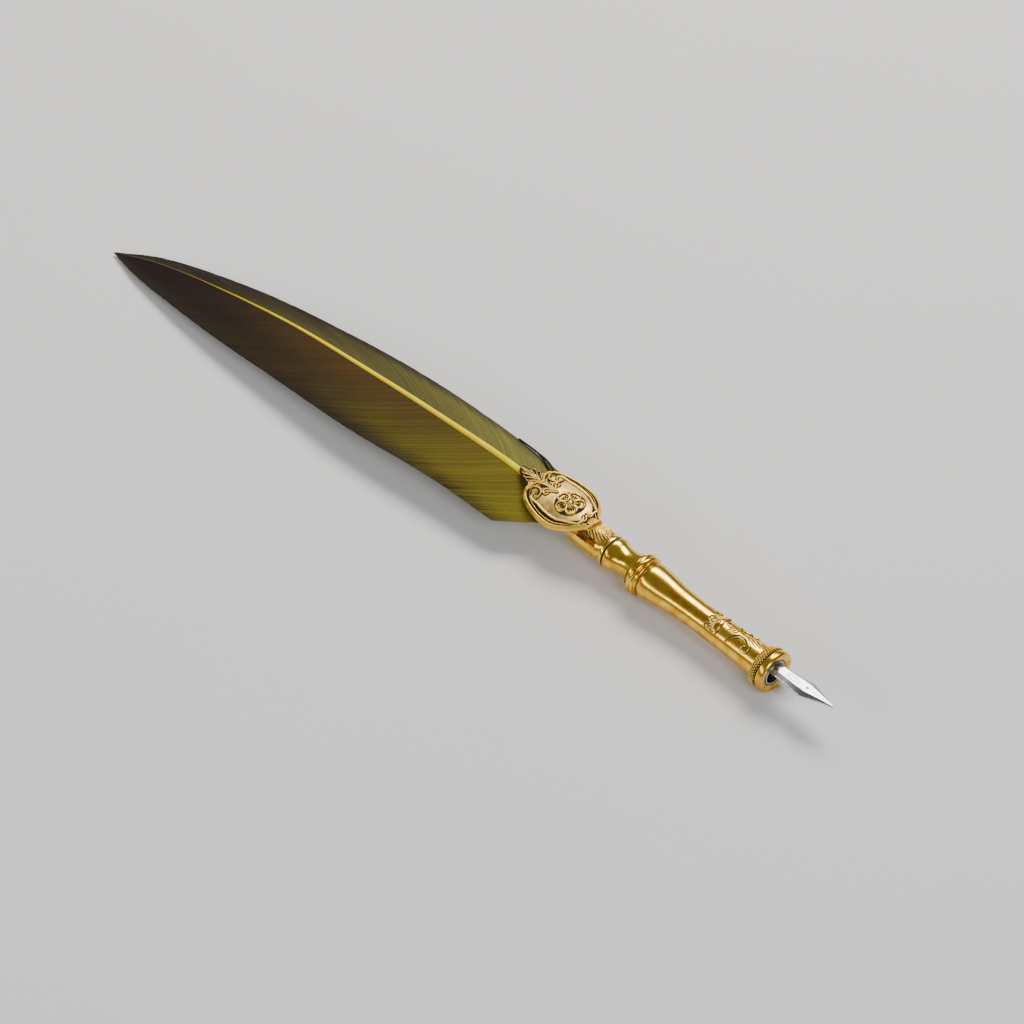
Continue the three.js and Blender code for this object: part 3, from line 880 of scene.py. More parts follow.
def make_collar(settings, finish):
    """A ring core with two strands that cross on opposite sides, and the core darkened below them as painted
    shade.
    """
    shape = Shape()
    core = rounded([[9.75, 5.15], [10.15, 5.5], [13.3, 5.5], [13.65, 5.2], [13.65, 2.95], [9.75, 2.95]], 0.15)
    shape.turned(core, settings.sides)
    angle = np.linspace(0, 2 * math.pi, 180, endpoint=False)
    crossing = -0.75
    for lean in (1, -1):
        sway = np.sin(angle - crossing)
        radius = 5.5 + lean * 0.16 * np.cos(angle - crossing)
        x = 11.8 + lean * 0.8 * sway
        line = np.stack([x, radius * np.sin(angle), radius * np.cos(angle)], -1)
        shape.swept(line, 0.8, 14, closed=True, up=(1, 0, 0))
    piece = shape.piece("collar_strands", finish)
    radius = x_and_radius(piece)[1]
    # Painted shade: the core under and between the strands is stored as partly sunk, so the gilding darkens
    # it.
    store(piece.data, "hollow", 0.73 - 0.25 * smoothstep(radius, 5.3, 5.75))
    return piece


def make_mouth_ring(settings, finish):
    outer = smooth_line(MOUTH_OUTLINE, 40)
    face = [[61.95, 6.0], [61.7, 4.2], [61.5, 3.95], [59.3, 3.95]]
    piece = Shape().turned(np.vstack([outer, face]), settings.sides).piece("mouth_ring_gilt", finish)
    x, radius = x_and_radius(piece)
    groove = (1 - smoothstep(x, 59.3, 59.7)) + 0.9 * (1 - smoothstep(radius, 3.95, 4.5))
    store(piece.data, "hollow", 0.5 + 0.45 * np.clip(groove, 0, 1))
    return piece


def make_ferrule(settings, finish):
    outline = rounded([
        [FERRULE_START, FERRULE_OUTER], [FERRULE_END, FERRULE_OUTER], [FERRULE_END, FERRULE_BORE],
        [FERRULE_START, FERRULE_BORE],
    ], settings.ease)
    piece = Shape().turned(outline, 96).piece("ferrule_sleeve_steel", finish)
    leave_plain(piece)
    return piece


def make_spring(finish):
    """Four curved leaves on a disc, which press the nib against the ferrule."""
    shape = Shape()
    shape.turned(rounded([[44.3, 0], [44.3, 2.75], [45.4, 2.75], [45.4, 0]], 0.1), 64)
    for quarter in range(4):
        middle = math.pi / 4 + quarter * math.pi / 2
        angle = np.linspace(-0.58, 0.58, 9) + middle
        x = np.linspace(45.0, 59.4, 25)
        flare = 0.05 + 0.12 * np.sin(np.linspace(0, math.pi, 25))
        sheets = []
        for base in (2.62, 2.40):
            radius = (base + flare)[:, None] * np.ones((1, 9))
            sheets.append(np.stack([
                np.repeat(x[:, None], 9, 1), radius * np.sin(angle), radius * np.cos(angle)], -1))
        shape.slab(*sheets)
    piece = shape.piece("ferrule_spring_steel", finish)
    leave_plain(piece)
    return piece


def make_thread_stud(finish):
    """A turned stud with a raised spiral thread."""
    shape = Shape()
    core = [[-5.8, 0], [-5.8, 1.45], [-5.4, 1.72], [3.5, 1.72], [3.9, 1.45], [3.9, 0]]
    shape.turned(rounded(core, 0.08), 64)
    pitch, start, turns = 0.7, -5.2, 12
    angle = np.linspace(0, 2 * math.pi * turns, 48 * turns)
    radius = 1.78
    x = start + pitch * angle / (2 * math.pi)
    line = np.stack([x, radius * np.sin(angle), radius * np.cos(angle)], -1)
    ends = np.sqrt(np.clip(np.minimum(angle, angle[-1] - angle) / 2, 0, 1))
    shape.swept(line, 0.22 * ends + 0.001, 6, up=(1, 0, 0))
    piece = shape.piece("neck_thread_steel", finish)
    radius = x_and_radius(piece)[1]
    # Painted shade: the core between the thread's turns is stored as sunk, so the steel darkens it.
    store(piece.data, "hollow", 0.9 - 0.4 * smoothstep(radius, 1.7, 1.95))
    return piece


def make_socket_tube(finish):
    """The feather's socket: a slant-cut tube with an open ledge under the leaf."""
    outer = [
        [SOCKET_REAR, SOCKET_RADIUS], [-12, SOCKET_RADIUS], [-8, SOCKET_RADIUS], [-3.2, SOCKET_RADIUS],
        [-2.4, 4.62], [-1.6, 4.72], [-1.1, 4.93], [-0.6, SOCKET_LIP], [-SEAM, 4.8],
    ]
    inner = [
        [-SEAM, STUD_RADIUS + CLEARANCE], [SOCKET_SEAT, STUD_RADIUS + CLEARANCE], [SOCKET_SEAT, SOCKET_BORE],
        [SOCKET_REAR, SOCKET_BORE],
    ]
    blank = Shape().turned(np.vstack([outer, inner]), 96).piece("socket_tube_gilt", finish)
    slice_centre = SOCKET_REAR + SOCKET_RADIUS * math.tan(SOCKET_SLANT)
    cutters = [
        box_cutter((-6, 0, 0), (12, 30, 30), (slice_centre, 0, 0), SOCKET_SLANT),
        box_cutter((0, 0, 3), (6.9, 14, 6), (-7.05, 0, 2.3), 0),
    ]
    cut(blank, cutters)
    soften(blank, 0.09, 2)
    x, radius = x_and_radius(blank)
    seam = smoothstep(x, -0.6, -0.2) * smoothstep(radius, 4.3, 4.7)
    # Painted shade: the inside of the tube, seen through the open ledge, is stored as sunk so the gilding
    # darkens it.
    inside = 0.6 * (1 - smoothstep(radius, 3.5, 4.4))
    store(blank.data, "hollow", 0.5 + 0.45 * np.clip(seam + inside, 0, 1))
    return blank


def box_cutter(centre, size, place, slant):
    """A box for cutting: centre and size before it is turned about Y and moved to its place."""
    work = bmesh.new()
    bmesh.ops.create_cube(work, size=1)
    turn = Matrix.Rotation(slant, 4, "Y")
    scale = Matrix.Diagonal((*size, 1))
    work.transform(Matrix.Translation(place) @ turn @ Matrix.Translation(centre) @ scale)
    return cutter_object(work)


def cylinder_cutter(place, radius, depth, sides=48):
    """An upright cylinder for cutting, with its middle at the place."""
    work = bmesh.new()
    bmesh.ops.create_cone(work, cap_ends=True, segments=sides, radius1=radius, radius2=radius, depth=depth)
    work.transform(Matrix.Translation(place))
    return cutter_object(work)


def cutter_object(work):
    """Turns a cutter's shape from millimetres to metres and puts it in the scene."""
    mesh = bpy.data.meshes.new("cutter")
    work.transform(Matrix.Translation(tuple(ORIGIN)) @ Matrix.Scale(MM, 4))
    work.to_mesh(mesh)
    work.free()
    cutter = bpy.data.objects.new("cutter", mesh)
    bpy.context.scene.collection.objects.link(cutter)
    return cutter


def cut(piece, cutters):
    """Takes the cutters out of a piece and leaves a plain mesh."""
    for cutter in cutters:
        modifier = piece.modifiers.new("cut", "BOOLEAN")
        modifier.operation = "DIFFERENCE"
        modifier.solver = "EXACT"
        modifier.object = cutter
    apply_modifiers(piece)
    for cutter in cutters:
        bpy.data.objects.remove(cutter)


def soften(piece, width, segments):
    """Eases a piece's hard edges."""
    modifier = piece.modifiers.new("soften", "BEVEL")
    modifier.width = width * MM
    modifier.segments = segments
    modifier.limit_method = "ANGLE"
    modifier.angle_limit = math.radians(35)
    apply_modifiers(piece)


def apply_modifiers(piece):
    view = bpy.context.evaluated_depsgraph_get()
    mesh = bpy.data.meshes.new_from_object(piece.evaluated_get(view), depsgraph=view)
    piece.modifiers.clear()
    old = piece.data
    piece.data = mesh
    bpy.data.meshes.remove(old)
    piece.data.set_sharp_from_angle(angle=math.radians(35))


# ---- Relief on the grip ----

RELIEF_SPAN = 0.95
RELIEF_RADIUS = 4.6
RELIEF_DEPTH = 0.4
RELIEF_FOOT = 0.12
RELIEF_FIELD = 0.03


def grip_patch(name, finish, x_range, counts, relief_height, draw):
    """A cast patch over the top of the grip, whose heights come from the strokes that draw makes."""
    x, angle = np.meshgrid(
        np.linspace(*x_range, counts[0]), np.linspace(-RELIEF_SPAN, RELIEF_SPAN, counts[1]), indexing="ij"
    )
    radius = grip_radius(x)
    relief = Relief(x, angle * RELIEF_RADIUS)
    draw(relief)
    ends = smoothstep(np.minimum(x - x_range[0], x_range[1] - x), 0, 0.25)
    rims = smoothstep(RELIEF_SPAN - np.abs(angle), 0, 0.07)
    raised = (relief.height * relief_height + RELIEF_FIELD + RELIEF_FOOT) * ends * rims - RELIEF_FOOT
    sheets = []
    for level in (radius + raised, radius - RELIEF_DEPTH):
        sheets.append(np.stack([x, -level * np.sin(angle), level * np.cos(angle)], -1))
    piece = Shape().slab(*sheets).piece(name, finish, sharp=70)
    outlined = (1 - smoothstep(relief.gap, 0.03, 0.18)) * (1 - smoothstep(relief.height, 0.1, 0.4))
    crest = smoothstep(relief.height, 0.5, 0.95)
    dress_slab(piece, *sheets, 0.5 + 0.46 * outlined - 0.25 * crest)
    return piece


def make_leaf_band(finish):
    """Three leaves side by side, each drawn as nested bows round a vein, and a line along their foot."""

    def draw(relief):
        pitch = 2.7
        for k in (-1, 0, 1):
            middle = k * pitch + 0.6
            for n in range(3):
                bow = curl((0, 0), (1, 1), (80, 280)) * [2.6 - 0.75 * n, 1.25 - 0.42 * n]
                relief.stroke(bow + [40.2 + 0.35 * n, middle], 0.18, 1.0 - 0.1 * n, (0.6, 0.6), 60)
            relief.stroke([[39.6, middle], [40.8, middle], [41.8, middle]], 0.16, 0.8, (0.3, 0.8))
        relief.stroke([[41.9, -4.3], [41.5, -1.6], [42.1, 0.6], [42.0, 4.2]], 0.22, 0.9)

    return grip_patch("leaf_band_relief", finish, (37.2, 42.7), (130, 190), 0.5, draw)


def make_scroll_relief(finish):
    """A large C scroll of doubled lines with a fan, a small curl and leaf blades, and scrolls beyond."""

    def draw(relief):
        hook = curl((51.9, 2.3), (1.5, 0.5), (-50, 250))
        scroll = np.vstack([curl((49.7, 3.4), (3.8, 3.6), (175, 300)), hook])
        relief.stroke(scroll, 0.34, 1.0, (0.5, 0.7), 120)
        relief.stroke(curl((49.7, 3.4), (3.0, 2.8), (178, 320)), 0.26, 0.9, (0.4, 0.3), 60)
        for n in range(3):
            start = 44.4 + 0.9 * n
            relief.stroke([[start, 0.5], [start + 0.5, 0], [start + 0.8, -0.8]], 0.16, 0.85, (0.4, 0.7))
        relief.stroke(curl((43.9, -1.5), (1.3, 0.6), (20, 290)), 0.2, 0.9, (0.5, 0.5), 50)
        for n in range(3):
            x, y = 48.2 + 1.3 * n, -1.1 - 0.4 * n
            relief.stroke([[x, y], [x + 2.2, y], [x + 4.5, y + 0.8], [x + 6, y + 1.2]], 0.2, 0.9, (0.3, 0.3))
        relief.stroke(curl((48.2, -4.4), (2.2, 2.0), (170, 20)), 0.24, 0.95, (0.5, 0.5), 60)
        relief.stroke(curl((51.4, -3.6), (1.2, 0.5), (150, -120)), 0.2, 0.9, (0.5, 0.5), 50)

    return grip_patch("scroll_relief_cast", finish, (42.8, 56.9), (240, 190), 0.45, draw)


# ---- Cartouche ----

CARTOUCHE_HALF = [
    [-6.6, 1.9], [-8.5, 3.1], [-10.6, 5.3], [-13, 7.2], [-16.5, 8.7], [-20.5, 9],
    [-25, 8.4], [-29, 7], [-31.4, 4.6], [-31, 2.2], [-29.4, 0.4],
]
RIM_CURL = curl((-27.8, 4.5), (2.8, 1.8), (110, 385))
BEAD_INSET = 2.4
NECK_LOBE = curl((-12.3, 2.4), (2.1, 2.1), (-60, 45), 5)
VOLUTE = curl((-26.6, 4.6), (1.5, 1), (100, 250), 5)
INNER_BEAD = [[-23, 0.2], [-25, 0.4], [-26.4, 1.4], [-26, 2.6], [-24.8, 2.6], [-24.6, 1.9]]
CARTOUCHE_CENTRE = np.array([-18.5, 0.0])
CROWN = 6.6
CROWN_DROP = 2.6
HALF_WIDTH = 9.0
YAW = -0.059
PIVOT = -8.0
PLATE_THICKNESS = 1.4
RIM_INSET = 0.035
THREAD_INSET = 0.14
ROSETTE_X = -17.4
ROSETTE_SCALE = 1.12


def crown_height(x, y):
    toward_feather = np.maximum(0, -14 - x) / 16
    return CROWN - CROWN_DROP * (y / HALF_WIDTH) ** 2 - 0.8 * toward_feather**2


def yawed(points):
    """Turns points from the cartouche's own line to the pen's."""
    offset = points - [PIVOT, 0, 0]
    cos, sin = math.cos(YAW), math.sin(YAW)
    x = offset[..., 0] * cos - offset[..., 1] * sin
    y = offset[..., 0] * sin + offset[..., 1] * cos
    return np.stack([x, y, offset[..., 2]], -1) + [PIVOT, 0, 0]


def border_bead_line():
    """Round the lobe at the neck, along the outline's side moved in, and into a curl by the leaf."""
    outline = smooth_line(CARTOUCHE_HALF, 19)
    side = outline[(outline[:, 0] < -14) & (outline[:, 0] > -25)] - [0, BEAD_INSET]
    return np.vstack([NECK_LOBE, side, VOLUTE])


def cartouche_outline(count):
    """The whole outline, from the neck's middle round the far side and back."""
    half = smooth_line(CARTOUCHE_HALF, 200)
    whole = np.vstack([half, half[::-1] * [1, -1]])
    return smooth_line(whole[::4], count, closed=True)


def shrunk(outline, share):
    """The cartouche's outline drawn in to its centre by a share: 1 leaves it and 0 makes it a point."""
    return CARTOUCHE_CENTRE + share * (outline - CARTOUCHE_CENTRE)


def gap_to_pair(x, y, half_line):
    """How far each (x, y) is from a line or from its mirror image, whichever is nearer."""
    gaps = [distance_to_line(x, y, smooth_line(on_side(half_line, side), 60))[0] for side in (1, -1)]
    return np.minimum(*gaps)


def draw_cartouche(relief, outline):
    """The raised rim and its thread, the volutes and inner bead, and the veins at both ends."""
    relief.stroke(shrunk(outline, 1 - RIM_INSET)[::6], 0.36, 0.5, samples=220, closed=True)
    relief.stroke(shrunk(outline, 1 - THREAD_INSET)[::6], 0.13, 0.16, samples=220, closed=True)
    for side in (1, -1):
        relief.stroke(on_side(RIM_CURL, side), 0.36, 0.6, (1, 0.7), 90)
        relief.stroke(on_side(INNER_BEAD, side), 0.30, 0.45, (0.5, 0.7), 90)
        relief.stroke(on_side([[-10.9, 0], [-10.0, 0.55], [-9.7, 1.2], [-10.3, 2.2]], side), 0.26, 0.36)
        for n in range(3):
            vein = [[-9.3 + 0.1 * n, 0.15 + 0.35 * n], [-8.2, 0.35 + 0.45 * n], [-7.0, 0.3 + 0.55 * n]]
            relief.stroke(on_side(vein, side), 0.20, 0.34, (0.4, 0.8))
        for n in range(4):
            vein = [
                [-23.0 - 0.5 * n, 0.1 + 0.25 * n], [-24.8 - 0.5 * n, 0.6 + 0.75 * n],
                [-26.0 - 0.1 * n, 0.7 + 0.9 * n],
            ]
            relief.stroke(on_side(vein, side), 0.22, 0.30, (0.3, 0.4))
        relief.stroke(on_side([[-8.0, 2.0], [-9.6, 3.3], [-11.6, 5.0]], side), 0.16, 0.25, (0.3, 0.3))


def make_cartouche(finish):
    """The domed heart-shaped plate: its worked face, its rolled side and its underside."""
    outline = cartouche_outline(620)
    rings = 96
    share = np.linspace(0, 1, rings) ** 0.85
    flat = shrunk(outline, share[:, None, None])
    x, y = flat[..., 0], flat[..., 1]
    relief = Relief(x, y)
    draw_cartouche(relief, outline)
    edge_gap = distance_to_line(x, y, np.vstack([outline[::3], outline[:1]]))[0]
    channel = smoothstep(edge_gap, 0.6, 0.8) * (1 - smoothstep(edge_gap, 2.0, 2.4))
    # Patina beside the inner bead; painted shadow with patina beside the border beads and round the rosette,
    # which sit on the plate.
    by_inner_bead = 1 - smoothstep(gap_to_pair(x, y, INNER_BEAD), 0.28, 0.62)
    by_border_bead = 1 - smoothstep(gap_to_pair(x, y, border_bead_line()), 0.3, 0.85)
    rosette_gap = np.hypot(x - ROSETTE_X, y) - 4.0 * ROSETTE_SCALE
    by_rosette = 1 - smoothstep(rosette_gap, -0.1, 0.2)
    beside = np.maximum(np.maximum(by_inner_bead, by_border_bead), by_rosette)
    top = crown_height(x, y) + np.where(relief.height > 0.02, relief.height, -0.25 * channel)
    top -= 0.28 * smoothstep(share, 1 - RIM_INSET, 1.0)[:, None]
    rows = [np.stack([x, y, top], -1)]
    for out, down in ((0.012, 0.28), (0.018, 0.6), (0.014, 1.0), (0.002, 1.3)):
        edge = shrunk(outline, 1 + out)
        rows.append(np.column_stack([edge, top[-1] - down])[None])
    for inward in (0.97, 0.85, 0.65, 0.4, 0.2, 0.0):
        edge = shrunk(outline, inward)
        level = crown_height(edge[:, 0], edge[:, 1]) - PLATE_THICKNESS
        rows.append(np.column_stack([edge, level])[None])
    rows = np.concatenate(rows)
    shape = Shape().lattice(rows, wrap_columns=True).moved(yawed)
    piece = shape.piece("cartouche_casting", finish, sharp=70)
    mark_hollows(piece, 0.10, 7)
    outlined = 1 - smoothstep(relief.gap, 0.05, 0.45)
    # The groove value holds patina, and painted shadow beside the border beads and round the rosette.
    groove = np.clip(channel + 0.8 * beside + outlined, 0, 1) * (1 - smoothstep(relief.height, 0.06, 0.16))
    values = np.zeros(rows.shape[:2])
    values[:rings] = groove
    transfer(piece, yawed(rows).reshape(-1, 3), values.ravel(), "groove")
    return piece


def make_border_scroll(side, finish):
    """The second bead, which runs inside the rim and curls beside the feather's leaf."""
    line = smooth_line(on_side(border_bead_line(), side), 150)
    share = np.linspace(0, 1, 150)
    radius = 0.37 * (0.45 + 0.55 * smoothstep(share, 0, 0.12)) * (1 - 0.35 * smoothstep(share, 0.85, 1))
    ends = np.sqrt(np.clip(np.minimum(share, 1 - share) / 0.006, 0, 1))
    height = crown_height(line[:, 0], line[:, 1]) + 0.12
    points = np.column_stack([line, height])
    shape = Shape().swept(points, radius * ends + 0.001, 16, flatten=1.05)
    piece = shape.moved(yawed).piece("border_bead_left" if side > 0 else "border_bead_right", finish)
    foot = local_points(piece)
    nearness = distance_to_line(foot[:, 0], foot[:, 1], yawed(points)[:, :2])[0]
    store(piece.data, "hollow", 0.30 + 0.6 * smoothstep(nearness, 0.26, 0.44))
    return piece


def make_rosette(finish):
    """Five open petals with rolled rims round a small domed button."""
    rings, spokes = 80, 300
    angle = np.linspace(0, 2 * math.pi, spokes, endpoint=False)
    share = np.linspace(0, 1, rings)[:, None]
    notch = np.abs(np.sin(2.5 * angle))
    reach = 2.65 + 1.35 * notch**0.55
    radius = share * reach * ROSETTE_SCALE
    x, y = ROSETTE_X + radius * np.cos(angle), radius * np.sin(angle)
    relief = Relief((x - ROSETTE_X) / ROSETTE_SCALE, y / ROSETTE_SCALE)
    for k in range(5):
        turn = math.pi + 2 * math.pi * k / 5
        cos, sin = math.cos(turn), math.sin(turn)

        def spun(points):
            return [[a * cos - b * sin, a * sin + b * cos] for a, b in points]

        petal = [[1.05, 0.25], [1.5, 1.0], [2.4, 1.42], [3.3, 1.15], [3.72, 0.4], [3.6, 0.0]]
        whole = petal + [[a, -b] for a, b in reversed(petal[:-1])]
        relief.stroke(spun(whole), 0.30, 0.62, (0.7, 0.7), 70)
        relief.stroke(spun([[1.2, 0], [2.0, 0.0], [2.7, 0.0]]), 0.13, 0.30, (0.9, 0.2))
        for side in (1, -1):
            vein = on_side([[1.3, 0.2], [2.0, 0.5], [2.6, 0.6]], side)
            relief.stroke(spun(vein), 0.11, 0.26, (0.9, 0.2))
    button = np.sqrt(np.clip(1 - (radius / 0.95) ** 2, 0, 1)) * 0.75
    height = np.maximum(relief.height, button)
    rim = smoothstep(share, 0.93, 1.0) * np.ones_like(x)
    base = crown_height(x, y)
    top = base + 0.12 + height - rim * (height + 0.35)
    sheet = np.stack([x, y, top], -1)
    under = np.stack([
        ROSETTE_X + 0.5 * radius[-1] * np.cos(angle), 0.5 * radius[-1] * np.sin(angle),
        np.full(spokes, CROWN - 0.5)], -1)
    pole = np.tile([ROSETTE_X, 0, CROWN - 0.5], (spokes, 1))
    rows = np.concatenate([sheet, under[None], pole[None]])
    piece = Shape().lattice(rows, wrap_columns=True).moved(yawed).piece("rosette_cast", finish, sharp=80)
    patina_and_shade = np.full(rows.shape[:2], 0.55)
    petal_floor = (share > 0.3) & (share < 0.85)
    patina_and_shade[:rings] = recess(relief, 0.15, 0.6) - 0.42 * petal_floor * (relief.gap > 0.18)
    patina_and_shade[:rings][radius < 0.9] = 0.42
    transfer(piece, yawed(rows).reshape(-1, 3), patina_and_shade.ravel(), "hollow")
    return piece


def make_feather_leaf(finish):
    """A palmette of veined lobes that lies on the shield's notch and points down the feather."""
    rows, columns = 170, 110
    share, across = np.meshgrid(np.linspace(0, 1, rows), np.linspace(-1, 1, columns), indexing="ij")
    x = -23.6 - 14.8 * share
    lobes = 0.26 * np.abs(np.sin(2.6 * math.pi * share)) * smoothstep(share, 0.3, 0.45)
    body = np.interp(share, [0, 0.25, 0.45, 0.62, 0.82, 0.94, 1], [0.25, 1.4, 3.0, 3.2, 1.8, 1.05, 0.12])
    half = body + lobes
    y = half * across
    relief = Relief(x, y)
    relief.stroke([[-23.8, 0], [-30, 0], [-37.9, 0]], 0.24, 0.34, (0.4, 0.9), 50)
    for side in (1, -1):
        for n in range(6):
            root = -24.6 - 1.5 * n
            spread = [0.7, 1.2, 2.2, 2.5, 2.1, 1.3][n]
            lobe = [
                [root, 0.18], [root - 2.2, spread * 0.55], [root - 3.6, spread * 0.95],
                [root - 4.6, spread * 0.88],
            ]
            relief.stroke(on_side(lobe, side), 0.21, 0.5, (0.6, 0.5), 50)
        relief.stroke(on_side([[-31, 0.35], [-34.5, 0.6], [-37.6, 0.35]], side), 0.2, 0.3, (0.5, 0.5))
        relief.stroke(on_side([[-29.5, 1.2], [-32.0, 2.6], [-31.0, 3.0]], side), 0.25, 0.34, (0.4, 0.7))
    on_plate = crown_height(x, y) + 0.18
    beyond = 5.62 - 0.9 * np.clip((-31 - x) / 7.4, 0, 1) - 0.06 * y**2
    blend = smoothstep(-x, 28.0, 31.5)
    level = on_plate * (1 - blend) + beyond * blend
    fall = smoothstep(np.abs(across), 0.9, 1.0) * 0.35 + smoothstep(share, 0.975, 1.0) * 0.25
    top = level + relief.height - fall
    bottom = level - np.interp(share, [0, 0.5, 1], [0.5, 1.0, 0.6])
    sheets = [np.stack([x, y, level_of], -1) for level_of in (top, bottom)]
    piece = Shape().slab(*sheets).moved(yawed).piece("feather_leaf_cast", finish, sharp=75)
    dress_slab(piece, *[yawed(sheet) for sheet in sheets], recess(relief))
    return piece


def make_neck_leaf(finish):
    """A spread leaf over the socket's ledge: ribs that fan from the shield and end in scallops."""
    rows, columns = 120, 180
    share, across = np.meshgrid(np.linspace(0, 1, rows), np.linspace(-1, 1, columns), indexing="ij")
    x = -9.6 + 8.3 * share
    scallop = 0.05 * np.abs(np.sin(3.6 * math.pi * share))
    half = np.interp(share, [0, 0.2, 0.45, 0.7, 0.9, 1], [0.24, 0.40, 0.56, 0.62, 0.55, 0.30]) + scallop
    angle = half * across
    arc = angle * 5.0
    relief = Relief(x, arc)
    relief.stroke([[-9.6, 0], [-5, 0], [-0.8, 0]], 0.26, 0.42, (0.8, 0.4), 40)
    for side in (1, -1):
        for n in range(6):
            root = -9.5 + 0.85 * n
            spread = 0.75 + 0.72 * (5 - n) if n else 4.2
            reach = root + 4.3 - 0.28 * n
            rib = [
                [root, 0.25 + 0.03 * n], [root + 1.8, spread * 0.45],
                [reach, spread * 0.9], [reach + 0.7, spread],
            ]
            relief.stroke(on_side(rib, side), 0.19, 0.5, (0.6, 0.5), 50)
    lift = np.interp(share, [0, 0.25, 0.6, 1], [1.3, 0.75, 0.45, 0.1])
    base = 4.95 + lift
    fall = smoothstep(np.abs(across), 0.9, 1.0) * 0.3
    sheets = []
    for level in (base + relief.height - fall, base - 0.45):
        sheets.append(np.stack([x, level * np.sin(angle), level * np.cos(angle) - lift * 0.35], -1))
    piece = Shape().slab(*sheets).piece("neck_leaf_cast", finish, sharp=75)
    dress_slab(piece, *sheets, recess(relief, 0.02, 0.4) - 0.36)
    return piece


# ---- Nib ----

NIB_REAR = 46.4
NIB_FOLD = (61.8, 64)
NIB_BLADE_START = 66
NIB_SHOULDER = 73.2
NIB_TIP = 82.8
NIB_RADIUS = 3.22
NIB_HALF_ANGLE = 0.84
NIB_THICKNESS = 0.32
NIB_WIDEST = 3.1
NIB_POINT = 0.36
NIB_FLAT = 0.5
NIB_TIP_RISE = 0.65
HOLE_RADIUS = 0.5
SLIT_WIDTH = 0.13
SLIT_LENGTH = 10.2


def nib_half_width(x):
    rear = NIB_RADIUS * math.sin(NIB_HALF_ANGLE)
    body = np.interp(x, [NIB_REAR, NIB_BLADE_START, NIB_SHOULDER], [rear, rear, NIB_WIDEST])
    to_tip = np.clip((x - NIB_SHOULDER) / (NIB_TIP - NIB_SHOULDER), 0, 1)
    point = NIB_POINT + (NIB_WIDEST - NIB_POINT) * (1 - to_tip) ** 1.25
    return np.where(x < NIB_SHOULDER, body, point)


def nib_level(x, across):
    """Height of the nib's upper face: arched inside the sleeve, and a flat top with two side facets in
    front of it. Across runs from -1 to 1."""
    flattened = smoothstep(x, NIB_BLADE_START, NIB_TIP)
    folded = smoothstep(x, *NIB_FOLD)
    arch = NIB_RADIUS * (1 - math.cos(NIB_HALF_ANGLE))
    rise = arch * (1 - 0.6 * flattened) * np.sqrt(nib_half_width(x) / nib_half_width(np.array(NIB_REAR)))
    facet = np.clip((np.abs(across) - NIB_FLAT) / (1 - NIB_FLAT), 0, 1)
    profile = across**2 * (1 - folded) + facet * folded
    return NIB_RADIUS + NIB_TIP_RISE * flattened - rise * profile


def make_nib(finish):
    """A steel blade with a slit, a breather hole, two curved grooves and a bead on each tine."""
    rows, columns = 260, 57
    share, across = np.meshgrid(np.linspace(0, 1, rows), np.linspace(-1, 1, columns), indexing="ij")
    x = NIB_TIP - share * (NIB_TIP - NIB_REAR)
    half = nib_half_width(x)
    y = half * across
    level = nib_level(x, across)
    stamp = Relief(x, y)
    for side in (1, -1):
        stamp.stroke(on_side([[66, 0.2], [68, 0.7], [70.5, 0.2]], side), 0.09, -0.04, samples=60)
    bevel = 0.10 * smoothstep(np.abs(across), 0.955, 1.0)
    top = np.stack([x, y, level + stamp.height - bevel], -1)
    bottom = np.stack([x, y * 0.98, level - NIB_THICKNESS], -1)
    piece = Shape().slab(top, bottom).piece("nib_steel_blade", finish, sharp=22)
    cut(piece, [
        box_cutter((0, 0, 0), (SLIT_LENGTH, SLIT_WIDTH, 4), (NIB_TIP - 4.6, 0, NIB_RADIUS), 0),
        cylinder_cutter((NIB_SHOULDER, 0, NIB_RADIUS), HOLE_RADIUS, 4),
    ])
    bead = Shape()
    for side in (1, -1):
        ball = np.linspace(0, math.pi, 12)
        middle = np.array([NIB_TIP - 0.28, side * 0.24, float(nib_level(np.array(NIB_TIP), 0)) - 0.2])
        line = middle + np.stack([0.42 * -np.cos(ball), 0 * ball, 0 * ball], -1)
        bead.swept(line, 0.17 * np.sin(ball) + 0.001, 12, flatten=1.5)
    tip = bead.piece("tip_beads", finish)
    join([piece, tip])
    # Painted shade: the grooves, the slit and the hole are marked as sunk, so the steel darkens them.
    mark_hollows(piece, 0.05, 4)
    return piece


def join(pieces):
    """Adds the later pieces' meshes to the first one's."""
    work = bmesh.new()
    for piece in pieces:
        work.from_mesh(piece.data)
    work.to_mesh(pieces[0].data)
    work.free()
    for piece in pieces[1:]:
        bpy.data.objects.remove(piece)


# ---- Feather ----

FEATHER_TIP = [-194.2, -16, -6]
SHAFT_LINE = [
    [-6.6, 0, 0], [-13.9, 0, 0], [-18, 0.2, 0.3], [-24, 0.5, 1], [-40, 2, 2.5], [-70, 0.5, 3], [-100, -1, 2],
    [-130, -3, 0.5], [-160, -7, -2], [-180, -11, -4], [-193.5, -15.5, -6],
]
WIDE_EDGE = [
    [-32, -16, 1], [-56, -17.5, 2], [-86, -20.5, 1.5], [-116, -21, 0], [-147, -21, -2], [-178, -19, -4.5],
    FEATHER_TIP,
]
NARROW_EDGE = [
    [-30, 10, 1.5], [-56, 10.5, 2], [-86, 9, 2], [-116, 5.5, 1], [-147, 1, -1.5], [-178, -7, -4.5],
    FEATHER_TIP,
]
STRAY_BARBS = [
    [[-29, 7, 2.2], [-35, 9.8, 2.8], [-44, 10.5, 2.6]],
    [[-33, 8, 2.4], [-39, 10.2, 2.7], [-48, 10.6, 2.4]],
]
VANE_ROOT = -16.5
VANE_LAST = -193.2


